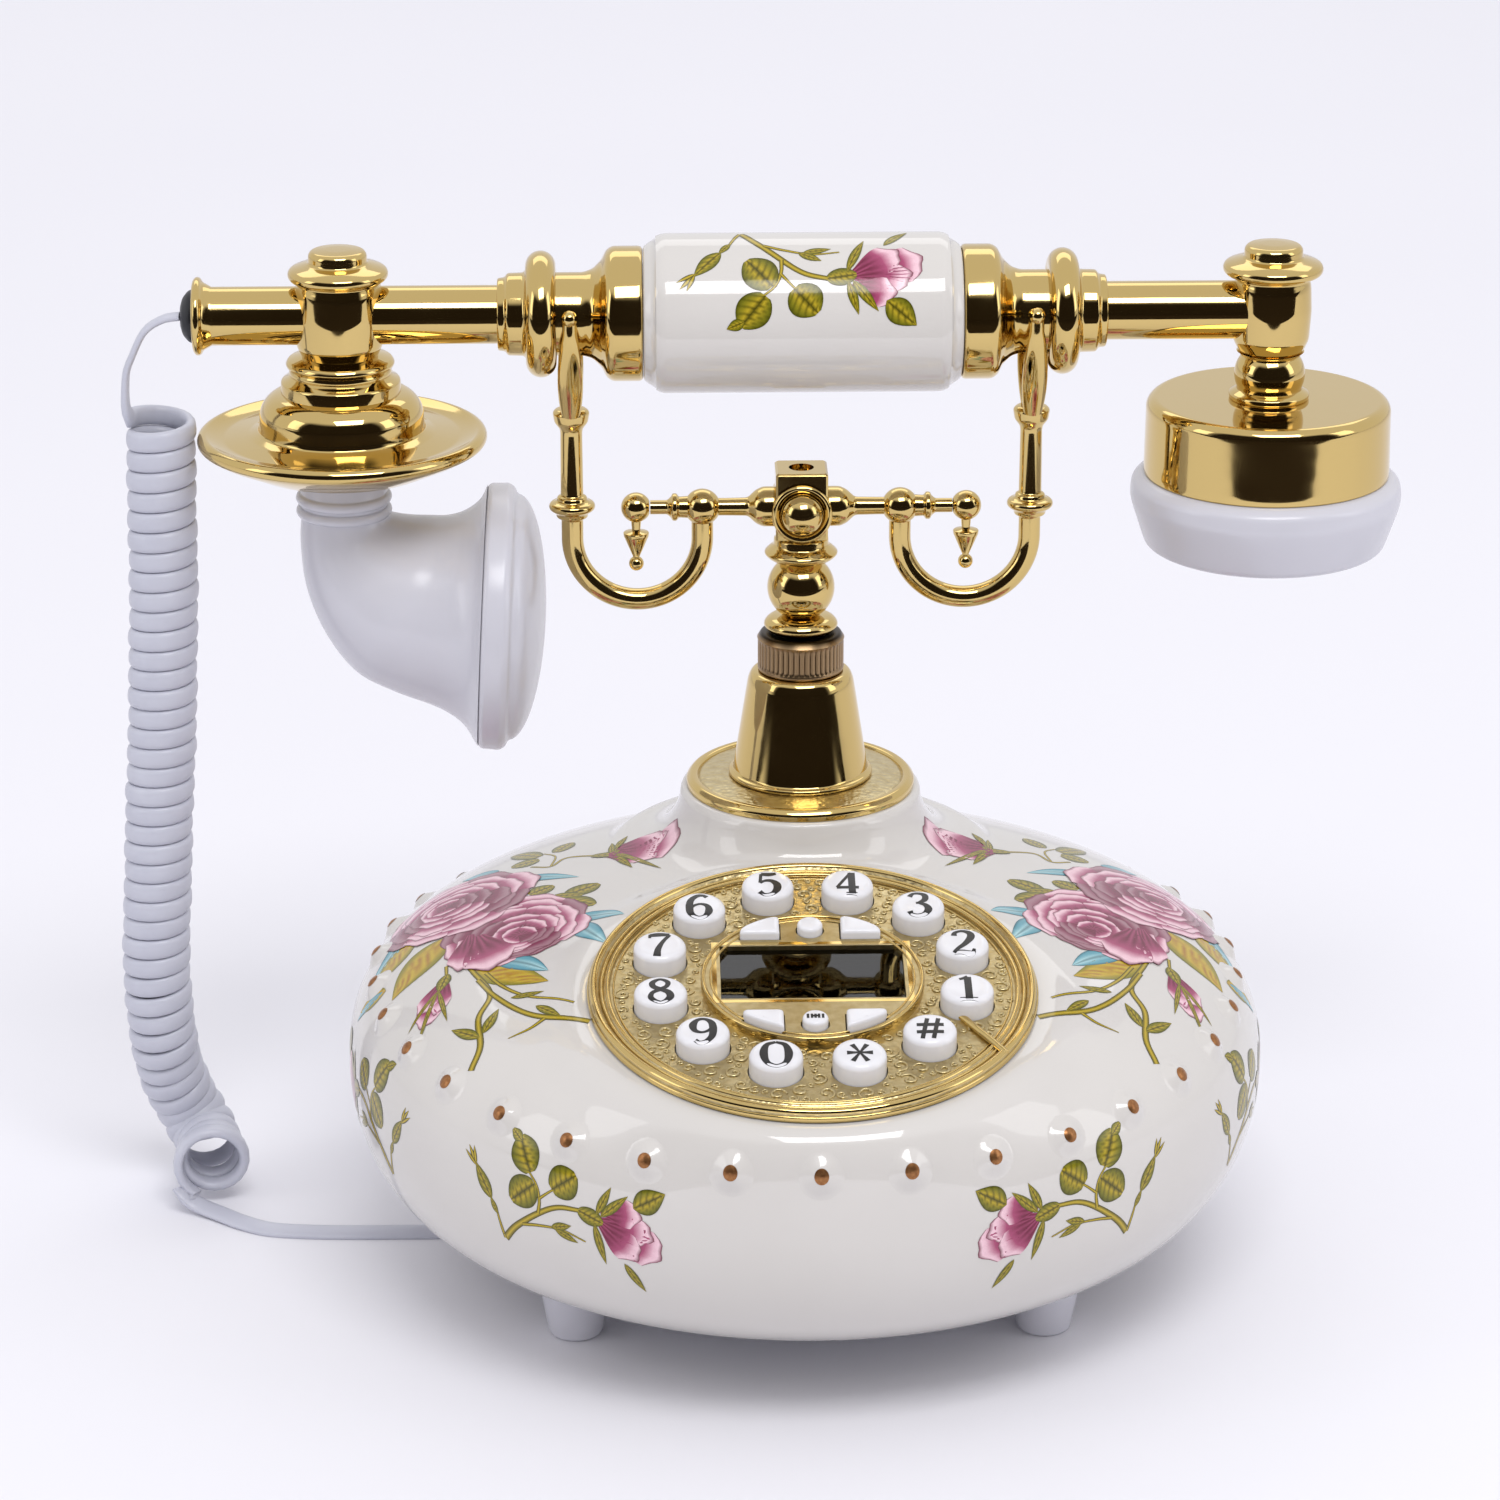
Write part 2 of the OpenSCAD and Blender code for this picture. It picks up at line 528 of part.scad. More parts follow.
module receiver_shell() color("gold") translate([ear_x, column_y, 0]) difference() {
    turned(concat([[0, 186], [29.2, 186], [29.2, 188], [29, 201]], arc([26.4, 201.8], 2.6, 0, 90, 6), [[0, 204.4]]));
    translate([0, 0, 180]) cylinder(r = 27, h = 22);
    cylinder(r = 3, h = 300, $fn = 32);
}

module ear_cap() color("white") translate([ear_x, column_y, 0]) difference() {
    turned(concat([[0, 167.8], [26.4, 167.8]], arc([26.8, 169.4], 1.6, -80, -20, 4), [[31.6, 178], [32.2, 180.2],
        [32, 183.6], [29.6, 185.9], [0, 185.9]]));
    translate([0, 0, 171]) cylinder(r = 25.6, h = 40);
    for (a = [0:60:359]) rotate(a) translate([7, 0, 160]) cylinder(r = 1.4, h = 20, $fn = 20);
    translate([0, 0, 160]) cylinder(r = 1.4, h = 20, $fn = 20);
}

module ear_speaker() color("dimgray") translate([ear_x, column_y, 173]) {
    cylinder(r = 25.4, h = 3);
    cylinder(r = 14, h = 9);
}

// Rubber grommet that the cord comes out of
module cord_grommet() color("black") along_handset(-1) difference() {
    turned(concat([[0, mic_end_x - 2.8], [3.9, mic_end_x - 2.8], [3.9, mic_end_x - 0.8], [5.9, mic_end_x - 0.8],
        [6.4, mic_end_x + 0.6]], [for (a = [20:14:90]) [6 * cos(a), mic_end_x + 0.6 + 3.2 * sin(a)]]));
}

// ---------- cord ----------

module cord_lead_upper() color("white") swept(LEAD_UPPER, cord_t / 2, cord_w / 2, [0, 1, 0]);

module cord_coil() color("white") swept(CURL, curl_r, curl_r, [0, 1, 0], 12);

module cord_lead_lower() color("white") swept(LEAD_LOWER, cord_w / 2, cord_t / 2, [0, 0, 1]);

// ---------- nodes ----------

body_shell();
base_plate();
feet();
base_screws();
main_board();
ringer();
jack_block();
dial_plate();
lcd_window();
lcd_module();
key_mat();
key_board();
column_flange();
column_cone();
knurled_nut();
hook_switch();
hook_spring();
cradle_stem();
cradle_hub();
fork_left();
fork_right();
drop_finials();
grip_sleeve();
collar_left();
collar_right();
mic_tube();
ear_tube();
tie_rod();
mic_knob();
ear_knob();
mic_saucer();
horn();
horn_cap();
microphone();
receiver_shell();
ear_cap();
ear_speaker();
cord_grommet();
cord_lead_upper();
cord_coil();
cord_lead_lower();
for (i = [0:11]) number_key(i);
for (i = [0:5]) function_key(i);
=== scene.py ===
import math

import bpy
import numpy as np
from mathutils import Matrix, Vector
from mathutils.bvhtree import BVHTree


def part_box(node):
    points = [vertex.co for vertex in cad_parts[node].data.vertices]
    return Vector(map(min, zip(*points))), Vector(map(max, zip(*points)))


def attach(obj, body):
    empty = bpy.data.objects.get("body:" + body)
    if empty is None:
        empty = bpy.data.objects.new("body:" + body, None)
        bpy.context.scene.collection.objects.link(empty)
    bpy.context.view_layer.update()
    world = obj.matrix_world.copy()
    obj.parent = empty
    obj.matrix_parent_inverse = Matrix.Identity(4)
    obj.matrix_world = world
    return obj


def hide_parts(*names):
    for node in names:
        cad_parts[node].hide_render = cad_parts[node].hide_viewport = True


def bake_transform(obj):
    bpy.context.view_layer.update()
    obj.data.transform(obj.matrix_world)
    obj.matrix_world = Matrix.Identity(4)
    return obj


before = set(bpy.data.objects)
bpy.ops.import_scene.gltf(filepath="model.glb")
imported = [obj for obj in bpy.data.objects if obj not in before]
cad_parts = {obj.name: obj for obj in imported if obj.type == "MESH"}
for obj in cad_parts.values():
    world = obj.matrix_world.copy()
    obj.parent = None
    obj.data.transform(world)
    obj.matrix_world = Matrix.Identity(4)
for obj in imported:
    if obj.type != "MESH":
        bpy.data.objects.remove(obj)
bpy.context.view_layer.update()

# ---------------------------------------------------------------------------------------------
# Camera. It stands 1.2 m in front of the column, a little to the left, and looks down at the
# telephone through a long lens.
MM = 0.001
column_low, column_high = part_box("column_cone")
column = (column_low + column_high) / 2
stand_back = 1.2
camera_azimuth = math.radians(-2)
camera_height = 0.5577
look_down = math.radians(20.2)
aim_left_of_column = math.radians(0.583)

camera_data = bpy.data.cameras.new("camera")
camera_data.lens = 126.5
camera_data.sensor_width = 36
camera_data.clip_end = 50
camera = bpy.data.objects.new("camera", camera_data)
bpy.context.scene.collection.objects.link(camera)
camera.location = (stand_back * math.sin(camera_azimuth),
                   column.y - stand_back * math.cos(camera_azimuth), camera_height)
camera.rotation_euler = (math.pi / 2 - look_down, 0, camera_azimuth + aim_left_of_column)
bpy.context.scene.camera = camera


# ---------------------------------------------------------------------------------------------
# Cord. A flat vinyl cord, extruded with round edges and wound hot on a mandrel, so that it keeps
# its curls. A plain lead comes out of the handset's grommet, the curls hang to the desk, and
# a plain lead runs from them to a hole under the base.
def linear(hex_colour):
    """An sRGB hex colour as linear RGBA."""
    parts = [int(hex_colour[i:i + 2], 16) / 255 for i in (1, 3, 5)]
    return [p / 12.92 if p <= 0.04045 else ((p + 0.055) / 1.055) ** 2.4 for p in parts] + [1.0]


def add_node(tree, kind, inputs=None, **settings):
    """Adds a node, sets its settings, and sets or links its inputs."""
    node = tree.nodes.new(kind)
    for key, value in settings.items():
        setattr(node, key, value)
    for key, value in (inputs or {}).items():
        if isinstance(value, bpy.types.NodeSocket):
            tree.links.new(value, node.inputs[key])
        else:
            node.inputs[key].default_value = value
    return node


def start_material(name):
    """An empty material, its node tree, and the socket that its shader goes into."""
    material = bpy.data.materials.new(name)
    material.use_nodes = True
    tree = material.node_tree
    tree.nodes.clear()
    output = add_node(tree, "ShaderNodeOutputMaterial")
    return material, tree, output.inputs["Surface"]


def piece(name, points, faces, material, body, sharp=35):
    """A smooth mesh piece from points in millimetres, that rides on a body."""
    mesh = bpy.data.meshes.new(name)
    mesh.from_pydata([tuple(float(c) * MM for c in p) for p in points], [], faces)
    mesh.validate()
    mesh.polygons.foreach_set("use_smooth", [True] * len(mesh.polygons))
    mesh.set_sharp_from_angle(angle=math.radians(sharp))
    mesh.materials.append(material)
    thing = bpy.data.objects.new(name, mesh)
    bpy.context.scene.collection.objects.link(thing)
    if body:
        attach(thing, body)
    return thing


def smooth_route(points, step):
    """A smooth curve through the points, cut into even steps."""
    p = np.array(points, float)
    p = np.vstack([2 * p[0] - p[1], p, 2 * p[-1] - p[-2]])
    fine = []
    for a, b, c, d in zip(p, p[1:], p[2:], p[3:]):
        for t in np.linspace(0, 1, 40, endpoint=False):
            fine.append(0.5 * (2 * b + (c - a) * t + (2 * a - 5 * b + 4 * c - d) * t ** 2
                               + (3 * b - a - 3 * c + d) * t ** 3))
    fine = np.array(fine + [p[-2]])
    along = np.concatenate([[0], np.cumsum(np.linalg.norm(np.diff(fine, axis=0), axis=1))])
    places = np.linspace(0, along[-1], max(2, int(along[-1] / step) + 1))
    return np.stack([np.interp(places, along, fine[:, i]) for i in range(p.shape[1])], axis=1)


def directions(route):
    """The unit direction of a route at each of its points."""
    d = np.gradient(route, axis=0)
    return d / np.linalg.norm(d, axis=1)[:, None]


def carry(first, ways):
    """A side direction carried along a route without twisting."""
    sides = [np.array(first, float)]
    for way in ways:
        side = sides[-1] - way * np.dot(sides[-1], way)
        sides.append(side / np.linalg.norm(side))
    return np.array(sides[1:])


cord_width = 4.9
cord_thickness = 2.7
curl_radius = 7.0
curl_pitch = 5.02
steps_per_turn = 22
upper_lead = [(-146.2, 35, 226), (-150, 35, 225.4), (-154.4, 35, 222.6), (-157.4, 35, 217),
              (-159.4, 35, 211)]
curl_axis = [(-151.6, 35, 203), (-152, 35, 180), (-152.8, 35, 150), (-154.4, 35, 120),
             (-156.4, 35, 90), (-157.8, 35.4, 64), (-157.8, 36.4, 51), (-157.2, 38.6, 40),
             (-155.8, 42, 30), (-153, 45, 21), (-149.6, 44, 14.6), (-147.2, 38.6, 12.2),
             (-145.8, 31, 11.9), (-145, 23.5, 11.8)]
lower_lead = [(-153, 23.7, 5.4), (-150.8, 23.4, 3.2), (-147.4, 22, 1.9), (-143.4, 19.2, 1.5),
              (-137.4, 14.6, 1.15), (-130.7, 11, 0.95), (-121, 9.3, 0.95), (-110, 8.7, 0.95),
              (-99, 8.6, 0.95), (-88, 8.6, 0.95), (-74, 9, 0.95),
              (-65, 9.4, 2.2), (-58.6, 10, 5), (-55, 10, 8.4), (-54, 10, 11.4)]

axis = smooth_route(curl_axis, 0.5)
axis = axis[4:-5]
axis_along = np.arange(len(axis)) * np.linalg.norm(axis[1] - axis[0])
turns = round(axis_along[-1] / curl_pitch)
curl_count = int(turns * steps_per_turn)
at = np.linspace(0, axis_along[-1], curl_count)
centres = np.stack([np.interp(at, axis_along, axis[:, i]) for i in range(3)], axis=1)
ahead = directions(centres)
across = carry((1, 0, 0), ahead)
deep = np.cross(ahead, across)
turn_angle = np.linspace(math.pi, math.pi + 2 * math.pi * turns + 0.3, curl_count)
outward = across * np.cos(turn_angle)[:, None] + deep * np.sin(turn_angle)[:, None]
wobble = 1 + 0.018 * np.sin(turn_angle * 0.37) + 0.012 * np.sin(turn_angle * 1.13 + 1)
slack = 1 + 0.27 * np.clip((turn_angle - turn_angle[-1]) / (2.5 * math.pi) + 1, 0, 1)
curls = centres + outward * (curl_radius * wobble * slack)[:, None]

lead_in = smooth_route(upper_lead + [tuple(curls[0]), tuple(curls[6])], 1.6)
cut = int(np.linalg.norm(lead_in - curls[0], axis=1).argmin())
lead_in = lead_in[:cut]
lead_out = smooth_route([tuple(curls[-6]), tuple(curls[-1])] + lower_lead, 1.6)
cut = int(np.linalg.norm(lead_out - curls[-1], axis=1).argmin())
lead_out = lead_out[cut + 1:]
cord_route = np.vstack([lead_in, curls, lead_out])

# The cord's thin way points out of the curls, and is carried on along the leads
in_side = np.cross(directions(lead_in), (0, 1, 0))
thin_way = np.vstack([-in_side, outward, carry(outward[-1], directions(lead_out))])
for _ in range(8):
    thin_way[1:-1] = (thin_way[:-2] + 2 * thin_way[1:-1] + thin_way[2:]) / 4
along_cord = directions(cord_route)
thin_way -= along_cord * np.sum(thin_way * along_cord, axis=1)[:, None]
thin_way /= np.linalg.norm(thin_way, axis=1)[:, None]
wide_way = np.cross(along_cord, thin_way)
flat = np.concatenate([np.full(len(lead_in), 0.62), np.ones(len(curls)), np.full(len(lead_out), 0.62)])
for _ in range(60):
    flat[1:-1] = (flat[:-2] + 2 * flat[1:-1] + flat[2:]) / 4
thin_way *= flat[:, None]

section = []
for a in np.linspace(0, 2 * math.pi, 16, endpoint=False):
    section.append((cord_width / 2 * math.copysign(abs(math.cos(a)) ** 0.85, math.cos(a)),
                    cord_thickness / 2 * math.copysign(abs(math.sin(a)) ** 0.8, math.sin(a))))


def tube(route, wide, thin, outline):
    """Points and faces of an outline swept along a route, closed at both ends."""
    n = len(outline)
    points = [c + w * x + t * y for c, w, t in zip(route, wide, thin) for x, y in outline]
    faces = [(k * n + i, k * n + (i + 1) % n, (k + 1) * n + (i + 1) % n, (k + 1) * n + i)
             for k in range(len(route) - 1) for i in range(n)]
    last = (len(route) - 1) * n
    faces += [tuple(range(n - 1, -1, -1)), tuple(range(last, last + n))]
    return points, faces


# Vinyl: moulded plasticised PVC, cool white, with a soft gloss and a faint drawn grain
vinyl, tree, surface = start_material("white_vinyl")
place = add_node(tree, "ShaderNodeTexCoord").outputs["Object"]
mottle = add_node(tree, "ShaderNodeTexNoise", {"Vector": place, "Scale": 1 / (9 * MM), "Detail": 3.0})
tint = add_node(tree, "ShaderNodeMix", {"Factor": mottle.outputs["Fac"], "A": linear("#B6B7C4"),
                                        "B": linear("#C2C3CE")}, data_type="RGBA")
grain = add_node(tree, "ShaderNodeTexNoise", {"Vector": place, "Scale": 1 / (0.7 * MM), "Detail": 2.0})
relief = add_node(tree, "ShaderNodeBump", {"Height": grain.outputs["Fac"], "Strength": 0.12,
                                           "Distance": 0.05 * MM})
vinyl_shader = add_node(tree, "ShaderNodeBsdfPrincipled", {
    "Base Color": tint.outputs["Result"], "Roughness": 0.36, "IOR": 1.53,
    "Subsurface Weight": 0.08, "Subsurface Radius": (1.0, 0.9, 0.8), "Subsurface Scale": 1.2 * MM,
    "Normal": relief.outputs["Normal"]})
tree.links.new(vinyl_shader.outputs["BSDF"], surface)

cord_points, cord_faces = tube(cord_route, wide_way, thin_way, section)
cord = piece("flat_curly_cord", cord_points, cord_faces, vinyl, None, sharp=80)
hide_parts("cord_lead_upper", "cord_coil", "cord_lead_lower")
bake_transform(cord)


# ---------------------------------------------------------------------------------------------
# Ceramic body. Slip-cast stoneware: a round pebble with a neck for the column and a flat seat
# for the dial, with a ring of raised pearls, under a clear white glaze.
body_radius = 109
girth_z = 54
dome_z = 95
dome_power = 2.6
lip_z = 15.5
lip_radius = 71.5
belly_power = 2.2
neck_z = 107.9
neck_radius = 29
neck_curve = 16
column_y = 35
dial_centre = np.array((0, -51.3, 90.0))
dial_slope = math.radians(11.2)
dial_radius = 51.3
seat_w = -1.6
dial_right = np.array((1.0, 0, 0))
dial_back = np.array((0, math.cos(dial_slope), math.sin(dial_slope)))
dial_out = np.array((0, -math.sin(dial_slope), math.cos(dial_slope)))


def pebble(angle):
    """Radius and height of the pebble's outline: 90 at the top, 0 at the girth, -90 at the lip."""
    s = math.sin(math.radians(abs(angle)))
    if angle >= 0:
        return body_radius * (1 - s ** dome_power) ** (1 / dome_power), girth_z + (dome_z - girth_z) * s
    reach = max(0, 1 - s ** belly_power) ** (1 / belly_power)
    return lip_radius + (body_radius - lip_radius) * reach, girth_z - (girth_z - lip_z) * s


def ease(t):
    """0 below 0, 1 above 1, and a smooth step between."""
    t = np.clip(t, 0, 1)
    return t * t * (3 - 2 * t)


def lifted(points):
    """The pebble's points, raised to the neck's flare and moved to the dial's seat."""
    x, y, z = points.T
    reach = np.clip(neck_radius + neck_curve - np.hypot(x, y - column_y), -40, neck_curve)
    flare = neck_z - np.sqrt(neck_curve ** 2 - np.clip(reach, 0, None) ** 2) + 2 * np.clip(reach, None, 0)
    blend = np.clip(0.5 + 0.5 * (flare - z) / 5, 0, 1)
    z = np.where(z > girth_z + 10, z + (flare - z) * blend + 5 * blend * (1 - blend), z)
    seat = (dial_centre[2] + (y - dial_centre[1]) * math.tan(dial_slope) + seat_w / math.cos(dial_slope))
    from_dial = np.hypot(x, (y - dial_centre[1]) / math.cos(dial_slope))
    near = (1 - ease((from_dial - dial_radius - 0.6) / 13)) * ease((z - girth_z) / 14)
    return np.stack([x, y, z + (seat - z) * near], axis=1)


around = 256
neck_tops = [(9.6, neck_z), (18, neck_z), (27.8, neck_z), (28.4, neck_z - 0.15), (28.8, neck_z - 0.5),
             (29, neck_z - 1.1)]
rings = []
for turn in range(4, 80, 4):
    rings.append((column_y, neck_radius + neck_curve * (1 - math.cos(math.radians(turn)))))
last_neck = rings[-1][1]
for t in np.linspace(0, 1, 34)[1:]:
    rings.append((column_y * (1 - ease(t)), last_neck + (97 - last_neck) * t))
angles = 2 * math.pi * np.arange(around) / around
skin = []
for r, z in neck_tops:
    skin.append(np.stack([r * np.cos(angles), column_y + r * np.sin(angles), np.full(around, z)], axis=1))
for centre_y, r in rings:
    x, y = r * np.cos(angles), centre_y + r * np.sin(angles)
    out = np.clip(np.hypot(x, y) / body_radius, 0, 1)
    z = girth_z + (dome_z - girth_z) * (1 - out ** dome_power) ** (1 / dome_power)
    skin.append(lifted(np.stack([x, y, z], axis=1)))
for angle in [37 - 2 * k for k in range(19)] + [-1 - 3 * k for k in range(30)] + [-90]:
    r, z = pebble(angle)
    if r > 97.6 or angle < 0:
        ring = np.stack([r * np.cos(angles), r * np.sin(angles), np.full(around, z)], axis=1)
        skin.append(lifted(ring))
skin = np.concatenate(skin)
skin_faces = []
for k in range(len(skin) // around - 1):
    for i in range(around):
        j = (i + 1) % around
        quad = (k * around + i, (k + 1) * around + i, (k + 1) * around + j, k * around + j)
        middle = skin[list(quad)].mean(axis=0) - dial_centre
        if math.hypot(middle @ dial_right, middle @ dial_back) > 46 or middle @ dial_out < -12:
            skin_faces.append(quad)
used = sorted({i for f in skin_faces for i in f})
renumber = {old: new for new, old in enumerate(used)}
skin = skin[used]
skin_faces = [tuple(renumber[i] for i in f) for f in skin_faces]

# Glaze: fired clear gloss over a warm white body, mirror smooth but for a slight waviness
glaze, tree, surface = start_material("fired_white_glaze")
place = add_node(tree, "ShaderNodeTexCoord").outputs["Object"]
clouds = add_node(tree, "ShaderNodeTexNoise", {"Vector": place, "Scale": 1 / (40 * MM), "Detail": 2.0})
tint = add_node(tree, "ShaderNodeMix", {"Factor": clouds.outputs["Fac"], "A": linear("#C6C2BD"),
                                        "B": linear("#D0CCC8")}, data_type="RGBA")
waves = add_node(tree, "ShaderNodeTexNoise", {"Vector": place, "Scale": 1 / (14 * MM), "Detail": 1.0})
relief = add_node(tree, "ShaderNodeBump", {"Height": waves.outputs["Fac"], "Strength": 0.2,
                                           "Distance": 0.1 * MM})
glaze_shader = add_node(tree, "ShaderNodeBsdfPrincipled", {
    "Base Color": tint.outputs["Result"], "Roughness": 0.06, "IOR": 1.52,
    "Coat Weight": 0.3, "Coat Roughness": 0.03, "Normal": relief.outputs["Normal"]})
tree.links.new(glaze_shader.outputs["BSDF"], surface)

body = piece("ceramic_body", skin, skin_faces, glaze, "base", sharp=70)
wall = body.modifiers.new("wall", "SOLIDIFY")
wall.thickness = 3.6 * MM
wall.offset = -1
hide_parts("body_shell")
glaze_tree = BVHTree.FromPolygons([tuple(p) for p in skin], skin_faces)
outline = np.array([pebble(a) for a in np.linspace(90, -90, 721)])
outline_arc = np.concatenate([[0], np.cumsum(np.linalg.norm(np.diff(outline, axis=0), axis=1))])
girth_arc = outline_arc[360]


def on_body(bearing, arc_down, lift):
    """A point over the glaze, by its bearing and its distance down the outline from the top."""
    ahead = [np.interp(arc_down + d, outline_arc, outline[:, k]) for d in (-0.5, 0.5) for k in (0, 1)]
    run, drop = ahead[2] - ahead[0], ahead[3] - ahead[1]
    flat = np.array((math.cos(bearing), math.sin(bearing), 0))
    middle = flat * (ahead[0] + ahead[2]) / 2 + np.array((0, 0, (ahead[1] + ahead[3]) / 2))
    out = (flat * -drop + np.array((0, 0, run))) / math.hypot(run, drop)
    hit, _, _, _ = glaze_tree.ray_cast(Vector(middle + out * 15), Vector(-out))
    return (middle if hit is None else np.array(hit)) + out * lift


# Pearls: domes of the same clay, each with a spot of copper lustre on its crown
pearl_count = 34
pearl_foot = 5.4
pearl_height = 2.0
pearl_spot = 1.6
pearl_z = 71
pearl_sway = 3.2


def bump_on_glaze(bearing, height, foot, lift, rings=9, sides=28):
    """A soft round bump on the glaze, in the ring of pearls."""
    z = pearl_z + pearl_sway * math.cos(2 * bearing)
    arc_down = float(np.interp(-z, -outline[:, 1], outline_arc))
    radius = float(np.interp(arc_down, outline_arc, outline[:, 0]))
    points, faces = [], []
    for k in range(rings + 1):
        d = foot * k / rings
        rise = height * math.cos(math.pi / 2 * d / pearl_foot) ** 2 + lift
        for i in range(sides):
            a = 2 * math.pi * i / sides
            points.append(on_body(bearing + d * math.cos(a) / radius, arc_down + d * math.sin(a), rise))
    for k in range(rings):
        for i in range(sides):
            j = (i + 1) % sides
            faces.append((k * sides + i, k * sides + j, (k + 1) * sides + j, (k + 1) * sides + i))
    return points, faces


def gather(parts):
    """Several (points, faces) pairs as one."""
    points, faces = [], []
    for more_points, more_faces in parts:
        faces += [tuple(i + len(points) for i in f) for f in more_faces]
        points += list(more_points)
    return points, faces


pearl_ways = [math.radians(-90 + 360 * k / pearl_count) for k in range(pearl_count)]
points, faces = gather([bump_on_glaze(w, pearl_height, pearl_foot, -0.03) for w in pearl_ways])
pearls = piece("glazed_pearls", points, faces, glaze, "base")

# Copper lustre: a thin fired metal film, brushed on by hand, so it is a little uneven
lustre, tree, surface = start_material("copper_lustre")
place = add_node(tree, "ShaderNodeTexCoord").outputs["Object"]
brushed = add_node(tree, "ShaderNodeTexNoise", {"Vector": place, "Scale": 1 / (0.8 * MM), "Detail": 3.0})
tint = add_node(tree, "ShaderNodeMix", {"Factor": brushed.outputs["Fac"], "A": linear("#6B3F24"),
                                        "B": linear("#C08A58")}, data_type="RGBA")
lustre_shader = add_node(tree, "ShaderNodeBsdfPrincipled", {
    "Base Color": tint.outputs["Result"], "Metallic": 0.8, "Roughness": 0.3})
tree.links.new(lustre_shader.outputs["BSDF"], surface)
points, faces = gather([bump_on_glaze(w, pearl_height, pearl_spot, 0.05, rings=3) for w in pearl_ways])
spots = piece("lustre_spots", points, faces, lustre, "base")

# ---------------------------------------------------------------------------------------------
# Transfers. Printed ceramic colours fired into the glaze: a bouquet of two cabbage roses on each
# shoulder, and rose sprigs round the belly and on the grip.
deep_pink, mid_pink, pale_pink = "#64102F", "#A84A70", "#EBC6D0"
dark_leaf, olive, yellow, orange = "#30330A", "#747019", "#BFA52B", "#9E6C22"
dark_teal, teal, pale_teal = "#28525D", "#5B98A7", "#A3CBD0"
ink = {name: np.array(linear(name)[:3]) for name in (
    deep_pink, mid_pink, pale_pink, dark_leaf, olive, yellow, orange, dark_teal, teal, pale_teal)}
prints = []


def mix(a, b, t):
    """Between two inks."""
    return a + (b - a) * float(ease(t))


def petal_paint(t, s):
    """Deep at the base, pale towards the lip, with a fine darker outline and faint streaks."""
    colour = mix(ink[deep_pink], ink[mid_pink], (t - 0.3) / 0.45)
    colour = mix(colour, ink[pale_pink], (t - 0.62) / 0.25)
    streak = 0.5 + 0.5 * math.sin(19 * s + 5 * t)
    colour = mix(colour, ink[mid_pink], streak * (1.1 - t) * 0.8)
    return mix(colour, ink[deep_pink], (max(t, abs(s) * 0.93) - 0.91) / 0.06 * 0.7)


def shadow_petal_paint(t, s):
    """A petal in the shade of the ones over it."""
    return mix(petal_paint(t, s), ink[deep_pink], 0.62)


def leaf_paint(t, s):
    """Olive with a yellow middle, dark veins and a dark edge."""
    colour = mix(ink[yellow], ink[olive], abs(s) * 1.3)
    vein = 0.5 + 0.5 * math.cos(2 * math.pi * (5 * t - 1.2 * abs(s)))
    colour = mix(colour, ink[dark_leaf], (vein - 0.72) * 2.2)
    return mix(colour, ink[dark_leaf], max((abs(s) - 0.7) * 2.4, (0.09 - abs(s)) * 9))


def autumn_paint(t, s):
    """Yellow with orange veins and an olive edge."""
    vein = 0.5 + 0.5 * math.cos(2 * math.pi * (6 * t - 1.6 * abs(s)))
    colour = mix(ink[yellow], ink[orange], (vein - 0.3) * (1 - abs(s)) * 2)
    return mix(colour, ink[olive], (abs(s) - 0.45) * 2)


def teal_paint(t, s):
    """Pale teal in the middle and deeper at the edges and the base."""
    colour = mix(ink[pale_teal], ink[teal], abs(s) * 1.6 + 0.5 - t)
    return mix(colour, ink[dark_teal], max((abs(s) - 0.75) * 3, (0.08 - abs(s)) * 8))


def stem_paint(t, s):
    """A yellow-green light along a darker stem."""
    return mix(ink[yellow], ink[dark_leaf], abs(s) * 1.1)


def blade(base, tip, half_width, paint, kind="leaf", bend=0.0):
    """One printed petal or leaf in the flat, as rows and columns of painted points."""
    base, tip = np.array(base, float), np.array(tip, float)
    along = tip - base
    across = np.array((-along[1], along[0])) / np.linalg.norm(along)
    rows, columns = (12, 11) if kind == "petal" else (16, 9)
    half_width *= 1.0 if kind == "petal" else 1.2
    points, colours = [], []
    for t in np.linspace(0, 1, rows):
        if kind == "petal":
            wide = 0.22 + 0.78 * math.sin(math.pi / 2 * min(1, t * 1.25)) ** 1.2
        elif kind == "round":
            wide = max(0.02, math.sin(math.pi * min(1, t * 0.93 + 0.04))) ** 0.5 * (1 - 0.25 * t ** 6)
        else:
            wide = max(0.02, math.sin(math.pi * t ** 0.8)) ** 0.9
        for s in np.linspace(-1, 1, columns):
            reach = t * (1 - 0.3 * s * s * t * t) if kind == "petal" else t
            side = half_width * wide * s + bend * math.sin(math.pi * t)
            frill = 0.035 * math.sin(7 * s + 3) * t ** 3 if kind == "petal" else 0
            points.append(base + along * (reach + frill) + across * side)
            colours.append(paint(t, s))
    prints.append((points, colours, columns))


def stem(points, first, last, paint=stem_paint):
    """A printed stem through the points, from one width to another."""
    path = smooth_route(points, 0.8)
    way = directions(path)
    across = np.stack([-way[:, 1], way[:, 0]], axis=1)
    widths = np.linspace(first, last, len(path)) * 0.64
    rows, colours = [], []
    for t, (p, a, w) in zip(np.linspace(0, 1, len(path)), zip(path, across, widths)):
        for s in (-1, -0.5, 0, 0.5, 1):
            rows.append(p + a * w * s)
            colours.append(paint(t, s))
    prints.append((rows, colours, 5))


